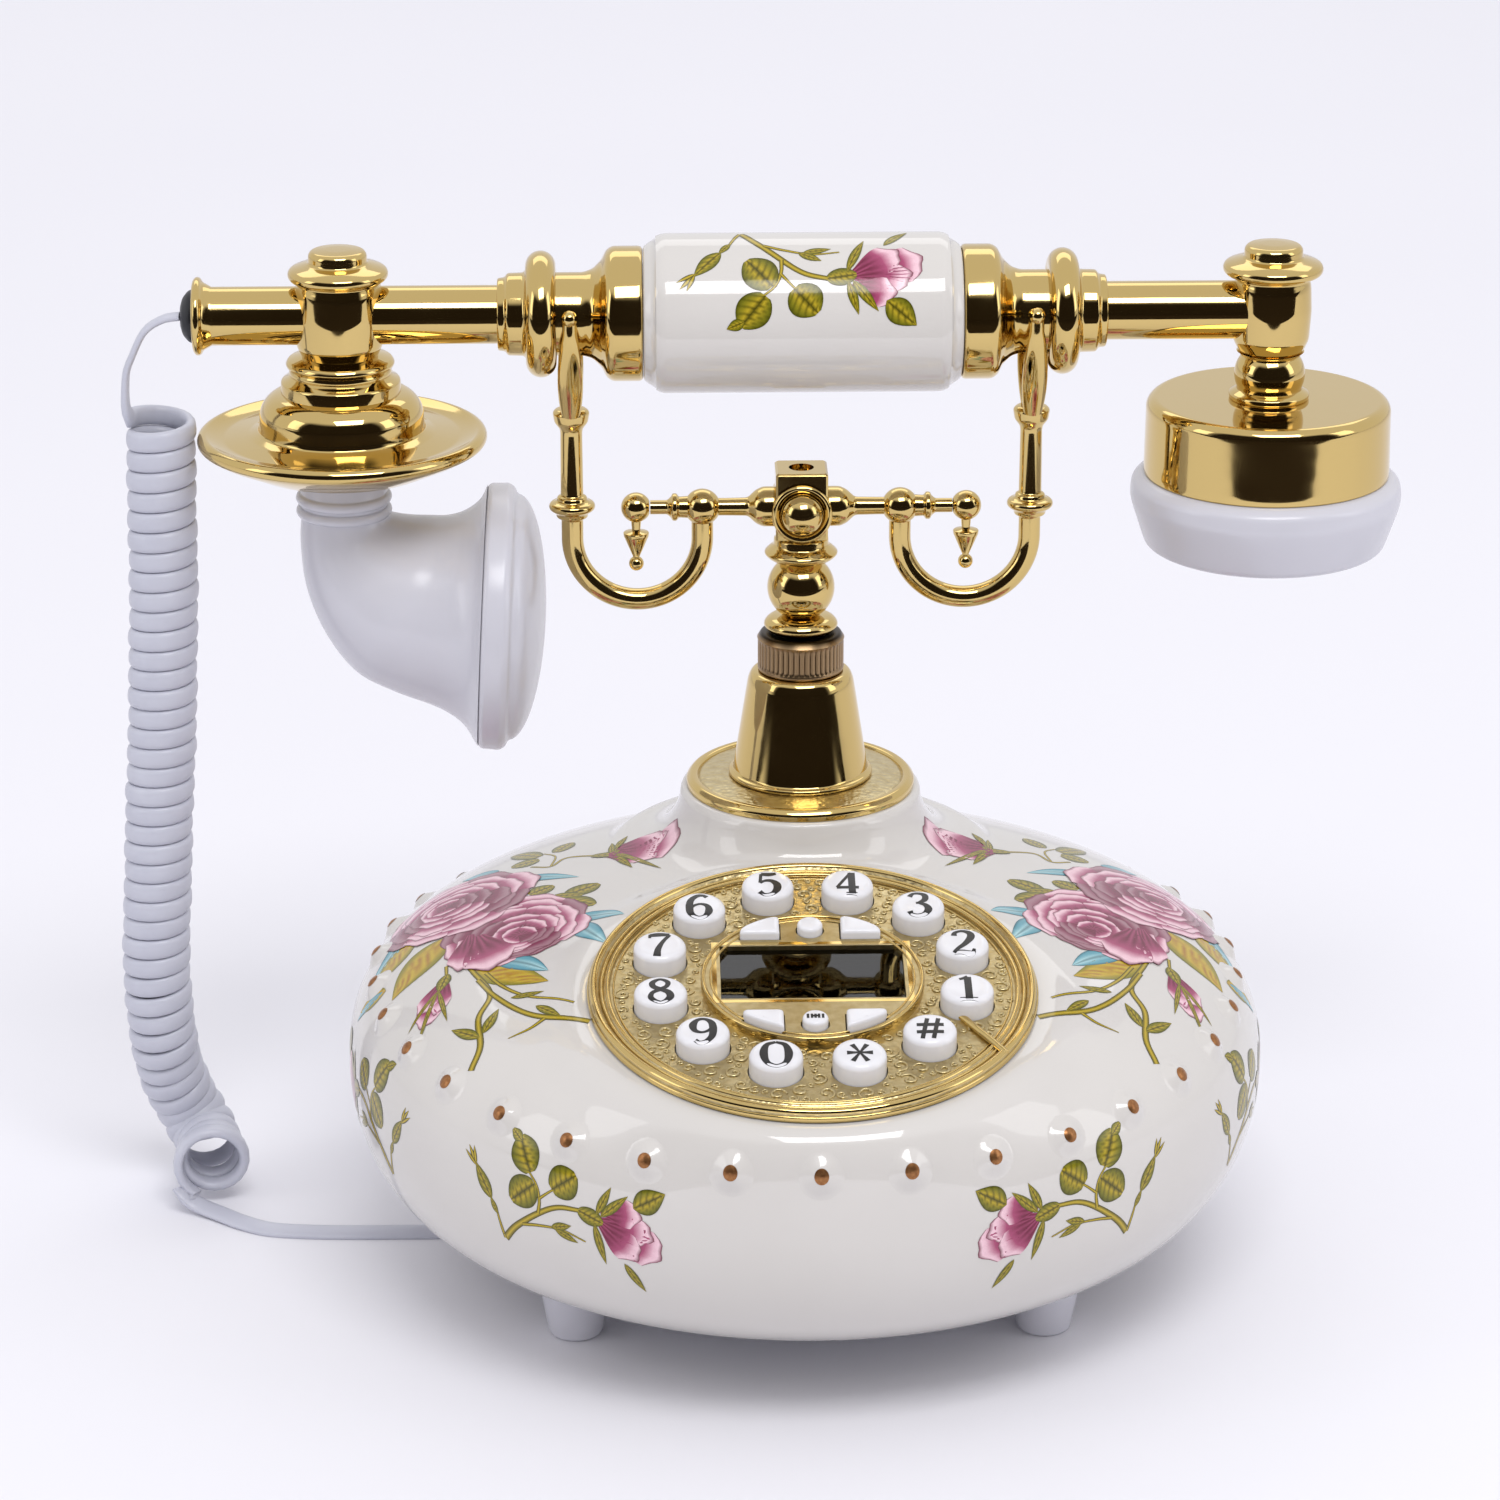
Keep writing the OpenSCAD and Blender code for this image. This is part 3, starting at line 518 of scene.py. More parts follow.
def rose(middle, radius, turn, lean):
    """A cabbage rose: rings of petals, the inner ones moved over towards where it leans."""
    middle = np.array(middle, float)
    for level, (count, inner, outer, wide) in enumerate(((8, 0.45, 1.0, 0.38), (8, 0.35, 0.86, 0.31),
                                                         (7, 0.26, 0.71, 0.27), (6, 0.16, 0.55, 0.24),
                                                         (5, 0.08, 0.4, 0.2), (4, 0.0, 0.25, 0.15))):
        heart = middle + np.array(lean) * radius * 0.3 * level / 5
        for k in range(count):
            a = turn + 2 * math.pi * k / count + level * 0.7
            way = np.array((math.cos(a), math.sin(a)))
            reach = radius * outer * (1 + 0.07 * math.sin(3 * k + level))
            blade(heart + way * radius * inner, heart + way * reach, radius * wide,
                  petal_paint if (k + level) % 3 else shadow_petal_paint, "petal")


def rosebud(base, tip, half_width):
    """A bud of three furled petals."""
    base, tip = np.array(base, float), np.array(tip, float)
    along = tip - base
    across = np.array((-along[1], along[0])) / np.linalg.norm(along)
    blade(base + along * 0.3, tip + along * 0.12, half_width * 0.75, petal_paint, "petal")
    blade(base, tip - along * 0.12 + across * half_width * 0.55, half_width * 0.62, petal_paint, "petal")
    blade(base, tip - along * 0.18 - across * half_width * 0.55, half_width * 0.6, petal_paint, "petal")


def sprig():
    """Rose sprig, drawn up and to the right from the foot of its stem."""
    stem([(0, 0), (4, 4.5), (10.6, 9.6), (16, 12.4), (22, 13)], 1.5, 0.9)
    stem([(0, 0), (-0.8, 3.4), (-1.6, 7)], 0.8, 0.5)
    blade((-1.4, 6), (-3.4, 10), 0.7, leaf_paint)
    blade((-3, 9.4), (-8, 17), 1.5, leaf_paint)
    blade((-7.6, 16.4), (-10.6, 20.4), 0.5, stem_paint)
    blade((-7.8, 16.6), (-9, 20.6), 0.45, stem_paint)
    blade((-7.7, 16.2), (-11.6, 19), 0.4, stem_paint)
    stem([(10.6, 9.6), (11, 13), (10.2, 16.4), (8, 19)], 0.8, 0.4)
    stem([(11, 13.4), (13.4, 15.4), (15, 16.6)], 0.6, 0.4)
    blade((8.4, 19), (4, 26.6), 3.3, leaf_paint, "round")
    blade((4.6, 25.4), (1, 27.6), 1.1, leaf_paint)
    blade((9.6, 16.6), (3, 11), 3.4, leaf_paint, "round")
    blade((14.4, 16.4), (20.4, 21), 3.5, leaf_paint, "round")
    stem([(6, 5.6), (11, 6.6), (17, 7), (23, 5.4)], 0.7, 0.3)
    blade((14, 7), (19.4, 8.6), 0.9, leaf_paint)
    blade((15, 6.8), (21, 4.6), 0.8, leaf_paint)
    rosebud((26.5, 11.5), (40, 5.6), 6.4)
    blade((27, 14), (37, 14.4), 3.4, petal_paint, "petal")
    blade((21.4, 13), (27.6, 11), 1.8, leaf_paint, "round")
    blade((26, 13), (29.4, 20), 0.9, leaf_paint)
    blade((27, 12.6), (33.6, 18.6), 1.0, leaf_paint)
    blade((25.4, 10.6), (27.8, 0.4), 0.9, leaf_paint)
    blade((32.4, 1.6), (36.8, -6), 0.9, leaf_paint)
    blade((35, 16), (42.4, 20.4), 2.5, leaf_paint)


def bouquet():
    """Two cabbage roses with leaves, buds and stems, drawn in plan on the left shoulder."""
    stem([(-66, 28), (-61, 25), (-57, 30), (-48, 27.4)], 0.6, 0.8)
    stem([(-61, 25), (-60, 33), (-63, 38)], 0.5, 0.4)
    for base, tip, wide in (((-64, 36), (-71, 45), 2.6), ((-64, 33), (-71, 32), 2.8),
                            ((-60, 37), (-56, 44), 2.2), ((-66, 7), (-60, 10), 2.6),
                            ((-57, 2), (-49, 7), 2.8), ((-58, 0), (-50, -6), 2.8),
                            ((-60, 3), (-53, 1), 1.6)):
        blade(base, tip, wide, leaf_paint, "round")
    blade((-72, 20), (-54, 13.6), 2.0, teal_paint, bend=1)
    blade((-74, 32), (-84, 35), 2.0, teal_paint)
    blade((-55, -12), (-43, -17), 2.6, teal_paint, bend=1)
    blade((-54, -15), (-47, -30), 2.6, teal_paint, bend=-1)
    blade((-97, 12), (-108, -6), 3.0, teal_paint, bend=2)
    blade((-95, 2), (-107, -12), 3.4, autumn_paint)
    blade((-86, -6), (-101, -24), 4.8, autumn_paint)
    blade((-103, -17), (-113, -13), 2.6, autumn_paint)
    blade((-104, -16.4), (-115, -14), 1.3, teal_paint)
    blade((-79, -26), (-61, -43), 3.8, autumn_paint, bend=-1)
    blade((-74, -27), (-61, -38), 2.6, teal_paint, bend=1)
    stem([(-82, -22), (-79, -30), (-75, -42), (-78, -50), (-78, -60), (-81, -66)], 1.0, 1.5)
    stem([(-78, -34), (-74, -43), (-68, -52), (-61, -58), (-51.6, -62)], 1.0, 1.5)
    stem([(-76, -32), (-72, -40), (-66, -47), (-55, -54)], 0.9, 0.6)
    stem([(-62, -58), (-66, -60), (-71, -61)], 1.0, 0.2)
    stem([(-86, -22), (-86, -28), (-87, -31)], 0.8, 0.6)
    blade((-64, -52), (-58, -59), 1.0, leaf_paint)
    blade((-70, -46), (-62, -47), 0.9, leaf_paint)
    blade((-78, -57), (-85, -50), 1.3, leaf_paint)
    blade((-77, -56), (-73, -49), 1.3, leaf_paint)
    rosebud((-86, -28), (-92, -42), 5.0)
    blade((-85.6, -26), (-88, -33), 1.6, leaf_paint)
    for tip in ((-97, -42), (-95, -50), (-86, -46)):
        blade((-88, -32), tip, 0.6, leaf_paint)
    rosebud((-47, 27), (-31, 24.6), 9.0)
    blade((-51, 28), (-44, 27), 1.5, leaf_paint, "round")
    for tip in ((-42, 37), (-41, 15), (-34, 12), (-46, 35)):
        blade((-46, 27), tip, 0.8, leaf_paint)
    rose((-69.5, -12), 18.5, 0.4, (0.3, -0.9))
    rose((-84, 13), 20, 1.1, (-0.5, 0.2))
    blade((-80, -10), (-82, -27), 4.4, petal_paint, "petal")
    blade((-78, -12), (-74, -31), 6.4, petal_paint, "petal")


def transferred(name, draw, place, body_name):
    """Lays the drawn prints on a surface as one mesh, each a hair above the one before."""
    prints.clear()
    draw()
    points, faces, colours = [], [], []
    for layer, (flat, inks, columns) in enumerate(prints):
        first = len(points)
        points += [place(p[0], p[1], 0.05 + 0.0022 * layer) for p in flat]
        colours += [(*c, 1.0) for c in inks]
        for r in range(len(flat) // columns - 1):
            for c in range(columns - 1):
                a = first + r * columns + c
                faces.append((a, a + 1, a + columns + 1, a + columns))
    thing = piece(name, points, faces, transfer, body_name, sharp=180)
    pigment = thing.data.color_attributes.new("pigment", "FLOAT_COLOR", "POINT")
    pigment.data.foreach_set("color", np.array(colours, "f").ravel())
    return thing


# Fired transfer: enamel colours as glossy as the glaze, with a fine grain of printed dots
transfer, tree, surface = start_material("fired_transfer")
place = add_node(tree, "ShaderNodeTexCoord").outputs["Object"]
pigment = add_node(tree, "ShaderNodeAttribute", attribute_name="pigment")
dots = add_node(tree, "ShaderNodeTexNoise", {"Vector": place, "Scale": 1 / (0.35 * MM), "Detail": 2.0})
shade = add_node(tree, "ShaderNodeMapRange", {"Value": dots.outputs["Fac"], "To Min": 0.84,
                                              "To Max": 1.1})
printed = add_node(tree, "ShaderNodeVectorMath", {0: pigment.outputs["Color"],
                                                  1: shade.outputs["Result"]},
                   operation="MULTIPLY")
transfer_shader = add_node(tree, "ShaderNodeBsdfPrincipled", {
    "Base Color": printed.outputs["Vector"], "Roughness": 0.12, "IOR": 1.45})
tree.links.new(transfer_shader.outputs["BSDF"], surface)


def plan_place(side):
    """Places a drawing on the shoulder: X and Y are laid out along the curve from the top."""
    return lambda x, y, lift: on_body(math.atan2(y, side * x), math.hypot(x, y), lift)


def belly_place(side, foot, direction):
    """Places a drawing round the belly, with its foot at a distance from the front."""
    def put(x, y, lift):
        bearing = -math.pi / 2 + side * (foot + direction * x) / body_radius
        return on_body(bearing, girth_arc + 12 - y, lift)
    return put


for side, word in ((1, "left"), (-1, "right")):
    transferred("bouquet_" + word, bouquet, plan_place(side), "base")
    transferred("front_sprig_" + word, sprig, belly_place(side, -77.6, 1), "base")
    transferred("side_sprig_" + word, sprig, belly_place(side, -122.6, -1), "base")

# ---------------------------------------------------------------------------------------------
# Base plate, feet and screws. The plate and the four tapered feet are white moulded ABS, and
# the plate is held from below by four zinc-plated screws.
abs_white, tree, surface = start_material("moulded_white_abs")
place = add_node(tree, "ShaderNodeTexCoord").outputs["Object"]
flow = add_node(tree, "ShaderNodeTexNoise", {"Vector": place, "Scale": 1 / (25 * MM), "Detail": 2.0})
tint = add_node(tree, "ShaderNodeMix", {"Factor": flow.outputs["Fac"], "A": linear("#BFBEC6"),
                                        "B": linear("#C8C7CF")}, data_type="RGBA")
skin_grain = add_node(tree, "ShaderNodeTexNoise", {"Vector": place, "Scale": 1 / (0.9 * MM),
                                                   "Detail": 3.0})
relief = add_node(tree, "ShaderNodeBump", {"Height": skin_grain.outputs["Fac"], "Strength": 0.1,
                                           "Distance": 0.03 * MM})
abs_shader = add_node(tree, "ShaderNodeBsdfPrincipled", {
    "Base Color": tint.outputs["Result"], "Roughness": 0.24, "IOR": 1.54,
    "Subsurface Weight": 0.06, "Subsurface Radius": (1.0, 0.9, 0.8), "Subsurface Scale": 1.5 * MM,
    "Normal": relief.outputs["Normal"]})
tree.links.new(abs_shader.outputs["BSDF"], surface)


def paint(names, material, sharp=28):
    """Gives CAD nodes a material and smooth shading, with their edges kept sharp."""
    for name in names:
        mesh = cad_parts[name].data
        mesh.materials.clear()
        mesh.materials.append(material)
        mesh.polygons.foreach_set("use_smooth", [True] * len(mesh.polygons))
        mesh.set_sharp_from_angle(angle=math.radians(sharp))


paint(["base_plate", "feet"], abs_white)

# Zinc plate: bluish bright metal with a faint crystalline dulling
zinc, tree, surface = start_material("zinc_plated_steel")
place = add_node(tree, "ShaderNodeTexCoord").outputs["Object"]
crystals = add_node(tree, "ShaderNodeTexVoronoi", {"Vector": place, "Scale": 1 / (0.6 * MM)})
dull = add_node(tree, "ShaderNodeMapRange", {"Value": crystals.outputs["Distance"], "To Min": 0.26,
                                             "To Max": 0.45})
zinc_shader = add_node(tree, "ShaderNodeBsdfPrincipled", {
    "Base Color": linear("#B9BCC0"), "Metallic": 1.0, "Roughness": dull.outputs["Result"]})
tree.links.new(zinc_shader.outputs["BSDF"], surface)
paint(["base_screws", "tie_rod", "hook_spring"], zinc)

# ---------------------------------------------------------------------------------------------
# Gold turnings of the column and the cradle. Brass, turned on a lathe, polished and plated with
# bright gold, so they mirror the room with crisp dark and light bands.


def rounded(corners, radius, cuts=5):
    """An outline with each inner corner rounded off, at most by the radius."""
    c = np.array(corners, float)
    out = [c[0]]
    for before, here, after in zip(c, c[1:], c[2:]):
        to_before, to_after = before - here, after - here
        reach = min(radius, 0.48 * np.linalg.norm(to_before), 0.48 * np.linalg.norm(to_after))
        a = here + to_before / max(np.linalg.norm(to_before), 1e-9) * reach
        b = here + to_after / max(np.linalg.norm(to_after), 1e-9) * reach
        for t in np.linspace(0, 1, cuts):
            out.append((1 - t) ** 2 * a + 2 * t * (1 - t) * here + t * t * b)
    return [tuple(p) for p in out] + [tuple(c[-1])]


def arc(centre, radius, start, end, cuts=12):
    """Points of an arc, from one angle to another."""
    return [(centre[0] + radius * math.cos(math.radians(a)),
             centre[1] + radius * math.sin(math.radians(a)))
            for a in np.linspace(start, end, cuts + 1)]


def lathe(outline, origin, along=(0, 0, 1), sides=96, fluting=None):
    """Points and faces of an outline of (radius, height) turned about a line through the origin."""
    along = np.array(along, float) / np.linalg.norm(along)
    side = np.cross((0, 1, 0) if abs(along[1]) < 0.9 else (1, 0, 0), along)
    side /= np.linalg.norm(side)
    other = np.cross(along, side)
    points, faces, rows = [], [], []
    for r, h in outline:
        if r < 1e-6:
            rows.append([len(points)])
            points.append(np.array(origin) + along * h)
            continue
        rows.append(list(range(len(points), len(points) + sides)))
        for i in range(sides):
            a = 2 * math.pi * i / sides
            grown = r + (fluting(a, h) if fluting else 0)
            points.append(np.array(origin) + along * h + (side * math.cos(a) + other * math.sin(a)) * grown)
    for low, high in zip(rows, rows[1:]):
        for i in range(sides):
            j = (i + 1) % sides
            if len(low) == 1 and len(high) > 1:
                faces.append((low[0], high[j], high[i]))
            elif len(high) == 1 and len(low) > 1:
                faces.append((low[i], low[j], high[0]))
            elif len(low) > 1:
                faces.append((low[i], low[j], high[j], high[i]))
    return points, faces


# Bright gold: electroplate over polished brass, with faint polishing haze and finger smears
gold, tree, surface = start_material("bright_gold_plate")
place = add_node(tree, "ShaderNodeTexCoord").outputs["Object"]
smears = add_node(tree, "ShaderNodeTexNoise", {"Vector": place, "Scale": 1 / (18 * MM), "Detail": 4.0})
haze = add_node(tree, "ShaderNodeMapRange", {"Value": smears.outputs["Fac"], "From Min": 0.35,
                                             "From Max": 0.75, "To Min": 0.04, "To Max": 0.12})
ripple = add_node(tree, "ShaderNodeTexNoise", {"Vector": place, "Scale": 1 / (7 * MM), "Detail": 1.0})
relief = add_node(tree, "ShaderNodeBump", {"Height": ripple.outputs["Fac"], "Strength": 0.3,
                                           "Distance": 0.05 * MM})
gold_shader = add_node(tree, "ShaderNodeBsdfPrincipled", {
    "Base Color": linear("#D3B878"), "Metallic": 1.0, "Roughness": haze.outputs["Result"],
    "Normal": relief.outputs["Normal"]})
tree.links.new(gold_shader.outputs["BSDF"], surface)


def turning(name, outline, origin, body_name, node, along=(0, 0, 1), material=gold,
            slot="polished_gold", sharp=50, **more):
    """A turned piece that stands for a CAD node."""
    points, faces = lathe(outline, origin, along, **more)
    thing = piece(name, points, faces, material, body_name, sharp)
    if node:
        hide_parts(node)
    return thing


foot_of_column = (0, column_y, 0)
flange_top = 110.7
cone_top = 137.4
nut_top = 147

# Embossed gold: die-struck plate with a stippled, softly worn ground
embossed, tree, surface = start_material("embossed_gold_plate")
place = add_node(tree, "ShaderNodeTexCoord").outputs["Object"]
stipple = add_node(tree, "ShaderNodeTexVoronoi", {"Vector": place, "Scale": 1 / (1.1 * MM)},
                   feature="SMOOTH_F1")
wear = add_node(tree, "ShaderNodeTexNoise", {"Vector": place, "Scale": 1 / (2.2 * MM), "Detail": 4.0})
ground = add_node(tree, "ShaderNodeMath", {0: stipple.outputs["Distance"], 1: wear.outputs["Fac"]},
                  operation="ADD")
from_stage = add_node(tree, "ShaderNodeVectorMath", {0: place, 1: (0, -49.8 * MM, 92.2 * MM)},
                      operation="DISTANCE")
plain = add_node(tree, "ShaderNodeMapRange", {"Value": from_stage.outputs["Value"], "From Min": 25.4 * MM,
                                              "From Max": 25.7 * MM, "To Min": 0.05, "To Max": 0.6})
relief = add_node(tree, "ShaderNodeBump", {"Height": ground.outputs["Value"],
                                           "Strength": plain.outputs["Result"], "Distance": 0.24 * MM})
tint = add_node(tree, "ShaderNodeMix", {"Factor": wear.outputs["Fac"], "A": linear("#A8905A"),
                                        "B": linear("#D8CBA2")}, data_type="RGBA")
embossed_shader = add_node(tree, "ShaderNodeBsdfPrincipled", {
    "Base Color": tint.outputs["Result"], "Metallic": 1.0, "Roughness": 0.3,
    "Normal": relief.outputs["Normal"]})
tree.links.new(embossed_shader.outputs["BSDF"], surface)

turning("column_flange_disc", rounded([(4.6, neck_z), (27, neck_z), (27.3, neck_z + 1.4),
                                       (26.4, neck_z + 2.4)],
                                      0.7)
        + rounded([(26.2, neck_z + 2.3), (25.2, neck_z + 2.0), (24.8, neck_z + 1.9), (24.2, neck_z + 2.3),
                   (18.2, flange_top), (4.6, flange_top)], 0.3),
        foot_of_column, "base", "column_flange", material=embossed, slot="embossed_gold", sharp=40)
turning("flange_rim", rounded([(24.6, neck_z + 1.5), (25, neck_z + 2.7), (26.6, neck_z + 2.8),
                               (27.7, neck_z + 1.6),
                               (27.6, neck_z + 0.1)], 0.5), foot_of_column, "base", None)

# Column cone: a spun shell with a small bead at its foot and a rolled shoulder
turning("column_cone_shell", rounded(
    [(10, flange_top + 0.05), (17.4, flange_top + 0.05), (17.4, flange_top + 1.1),
     (16.3, flange_top + 1.5),
     (12.7, cone_top - 2.2), (11.7, cone_top - 0.2), (6, cone_top)], 1.5), foot_of_column, "base",
    "column_cone")

# Antique brass: dark patina left in the grooves and rubbed bright on the ribs
antique, tree, surface = start_material("antique_brass")
place = add_node(tree, "ShaderNodeTexCoord").outputs["Object"]
centred = add_node(tree, "ShaderNodeVectorMath", {0: place, 1: (0, -column_y * MM, 0)}, operation="ADD")
flat = add_node(tree, "ShaderNodeVectorMath", {0: centred.outputs["Vector"], 1: (1, 1, 0)},
                operation="MULTIPLY")
radial = add_node(tree, "ShaderNodeVectorMath", {0: flat.outputs["Vector"]}, operation="LENGTH")
rubbed = add_node(tree, "ShaderNodeMapRange", {"Value": radial.outputs["Value"], "From Min": 9.8 * MM,
                                               "From Max": 10.4 * MM})
tint = add_node(tree, "ShaderNodeMix", {"Factor": rubbed.outputs["Result"], "A": linear("#2E2313"),
                                        "B": linear("#A58A68")}, data_type="RGBA")
antique_shader = add_node(tree, "ShaderNodeBsdfPrincipled", {
    "Base Color": tint.outputs["Result"], "Metallic": 1.0, "Roughness": 0.3})
tree.links.new(antique_shader.outputs["BSDF"], surface)


def ribs(angle, height):
    """Knurled ribs, 48 of them, which fade out at the nut's plain ends."""
    inside = float(ease((height - cone_top - 0.9) / 0.6) * ease((nut_top - 1.9 - height) / 0.5))
    return (0.35 * abs(math.cos(24 * angle)) ** 0.6 - 0.3) * inside


turning("knurled_nut_turning",
        rounded([(4.3, cone_top), (10.3, cone_top), (10.4, cone_top + 0.9)], 0.3)
        + [(10.3, h) for h in np.linspace(cone_top + 1, nut_top - 1.8, 9)]
        + rounded([(10.5, nut_top - 1.6), (9.6, nut_top - 0.2), (9, nut_top), (4.3, nut_top)], 0.4),
        foot_of_column, "base", "knurled_nut", material=antique, slot="antique_brass", sharp=60,
        sides=384, fluting=ribs)

# Cradle stem: collar, bulb and bead above the nut, and the plain rod that works the switch
turning("cradle_stem_turning",
        [(0, 103.0), (4, 103.0), (4, 130.1), (6.4, 130.1), (6.4, 132.1), (4, 132.1), (4, nut_top + 0.4)]
        + rounded([(4, nut_top + 0.4), (8, nut_top + 0.4), (9.1, nut_top + 1.8), (8.2, nut_top + 3.2),
                   (6.7, 150.9)], 0.8)
        + arc((0, 158), 8.1, -60, 56, 20)
        + rounded([(4.7, 165), (7.6, 165.4), (9, 166.9), (7.6, 168.2), (6.6, 168.8), (6.5, 170.8),
                   (5, 171)], 0.7)
        + [(0, 171)], foot_of_column, "cradle", "cradle_stem")

# Hub: a filed brass block, with a ring and a ball boss front and back, and a screw hole on top
bar_z = 178.2
hub_top = bar_z + 9.7
hub = []
half, low, high, bevel = 6.2, bar_z - 7.2, hub_top, 0.5
corner = [(half - bevel, half), (half, half - bevel)]
plan = [(x, y) for x, y in corner] + [(x, -y) for x, y in corner[::-1]]
plan += [(-x, -y) for x, y in corner] + [(-x, y) for x, y in corner[::-1]]
levels = [(low, 0.92), (low + bevel, 1), (high - bevel, 1), (high, 0.92)]
points = [(x * k, column_y + y * k * 0.97, z) for z, k in levels for x, y in plan]
faces = [(r * 8 + i, r * 8 + (i + 1) % 8, r * 8 + 8 + (i + 1) % 8, r * 8 + 8 + i)
         for r in range(3) for i in range(8)]
faces = [f[::-1] for f in faces]
bore = [(3 * math.cos(a), column_y + 3 * math.sin(a)) for a in np.linspace(0, 2 * math.pi, 33)[:-1]]
first = len(points)
points += [(x, y, high) for x, y in bore] + [(x, y, high - 4.7) for x, y in bore]
outer_of = [int(np.argmin([math.hypot(points[24 + k][0] - x * 2, points[24 + k][1] - column_y
                                      - (y - column_y) * 2) for k in range(8)])) for x, y in bore]
for i in range(32):
    j = (i + 1) % 32
    faces.append((first + i, first + 32 + i, first + 32 + j, first + j))
    faces.append((24 + outer_of[i], first + i, first + j))
    if outer_of[i] != outer_of[j]:
        faces.append((24 + outer_of[i], first + j, 24 + outer_of[j]))
faces.append(tuple(range(first + 32, first + 64)))
faces.append(tuple(range(8)))
hub.append((points, faces))
for way in (-1, 1):
    hub.append(lathe(rounded([(5.2, 6.4), (5.5, 7.1), (6.5, 7.6), (7.2, 7.1), (7.2, 0)], 0.35),
                     (0, column_y, bar_z), (0, way, 0)))
    hub.append(lathe([(0, 11.7)] + arc((0, 6.4), 5.3, 86, 0, 16) + [(5.3, 5)], (0, column_y, bar_z),
                     (0, way, 0)))
points, faces = gather(hub)
hub_piece = piece("cradle_hub_block", points, faces, gold, "cradle", sharp=30)
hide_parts("cradle_hub")

# Forks: cast and turned bars with ball joints, a U-bend, a collared stem and two leaf prongs
fork_x = 54.6
bend_z = 170.7
bend_radius = 15.5
inner_ball = 23.6


def swept(route, half_wide, half_thin, facing, sides=20):
    """Points and faces of an oval tube along a route, with its half sizes at each point."""
    along = directions(route)
    wide = np.cross(along, facing)
    wide /= np.linalg.norm(wide, axis=1)[:, None]
    thin = np.cross(along, wide)
    outline = [(math.cos(a), math.sin(a)) for a in np.linspace(0, 2 * math.pi, sides, endpoint=False)]
    return tube(route, wide * np.broadcast_to(half_wide, len(route))[:, None],
                thin * np.broadcast_to(half_thin, len(route))[:, None], outline)


for side, word in ((-1, "left"), (1, "right")):
    parts = []
    centre = (0, column_y, bar_z)
    parts.append(lathe(rounded([(4.2, 5.9), (4.8, 6.2), (4.8, 9.2), (4, 10.9), (2.2, 12.8), (2.1, 18),
                                (2.1, 20)],
                               0.7), centre, (side, 0, 0)))
    parts.append(lathe([(0, 28.0)] + arc((0, inner_ball), 4.4, 86, -62, 22), centre, (side, 0, 0)))
    parts.append(lathe(rounded([(2.7, 26.4), (2.5, 29.2), (3.3, 29.7), (3.3, 30.7), (2.5, 31.1),
                                (1.7, 32),
                                (1.7, 36)], 0.35), centre, (side, 0, 0)))
    parts.append(lathe([(0, 43)] + arc((0, 39.4), 3.6, 86, -62, 22), centre, (side, 0, 0)))
    drop = [(inner_ball, column_y, z) for z in np.linspace(bar_z - 3, bend_z, 6)]
    bend = [(inner_ball + bend_radius - bend_radius * math.cos(a), column_y,
             bend_z - bend_radius * math.sin(a)) for a in np.linspace(0, math.pi, 60)[1:]]
    rise = [(fork_x, column_y, z) for z in np.linspace(bend_z, bar_z, 6)[1:]]
    route = np.array(drop + bend + rise)
    route[:, 0] *= side
    parts.append(swept(route, 2.6, 2.6, (0, 1, 0), sides=28))
    stem_foot = (side * fork_x, column_y, 0)
    parts.append(lathe(rounded([(2.5, bar_z - 4), (2.6, bar_z - 2.6), (3.7, bar_z - 2.2),
                                (3.9, bar_z - 1.2),
                                (4.6, bar_z - 0.7)], 0.4) + arc((4.4, bar_z + 0.5), 1.1, -70, 90, 10)
                       + rounded([(4.2, bar_z + 1.7), (3.7, bar_z + 2), (3.5, bar_z + 2.9),
                                  (2.7, bar_z + 3.3),
                                  (2.6, 197), (2.8, 198), (4, 199.6), (4.4, 202), (3.6, 202.8),
                                  (2, 203)], 0.5)
                       + [(0, 203)], stem_foot))
    for way in (-1, 1):
        prong = smooth_route([(side * fork_x, column_y + way * 1.8, 199.5),
                              (side * fork_x, column_y + way * 4.2, 204),
                              (side * fork_x, column_y + way * 8, 212),
                              (side * fork_x, column_y + way * 11.3, 221),
                              (side * fork_x, column_y + way * 11.9, 228)], 0.7)
        t = np.linspace(0, 1, len(prong))
        parts.append(swept(prong, 1.7 + 1.3 * np.sin(np.pi * np.clip(t * 1.15, 0, 1)) ** 0.8,
                           1.3 - 0.1 * t, (0, 1, 0.3)))
        parts.append(lathe([(0, -1.9)] + arc((0, 0), 1.9, -80, 80, 10) + [(0, 1.9)],
                           (side * fork_x, column_y + way * 12.2, 228.1), (0, 0, 1), sides=32))
    points, faces = gather(parts)
    fork = piece("fork_" + word + "_casting", points, faces, gold, "cradle", sharp=45)
    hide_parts("fork_" + word)

finials = [lathe([(0, 0.1), (1.2, 0), (1.0, -2.3)] + rounded([(1.0, -2.4), (3.1, -2.8), (3, -3.7),
                                                              (0.8, -8.8)],
                                                            0.3) + arc((0, -10.6), 1.8, 62, -86, 12)
                 + [(0, -12.4)], (side * 39.4, column_y, bar_z - 3.4), sides=48) for side in (-1, 1)]
points, faces = gather(finials)
finial_pair = piece("finial_pair", points, [f[::-1] for f in faces], gold, "cradle", sharp=40)
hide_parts("drop_finials")

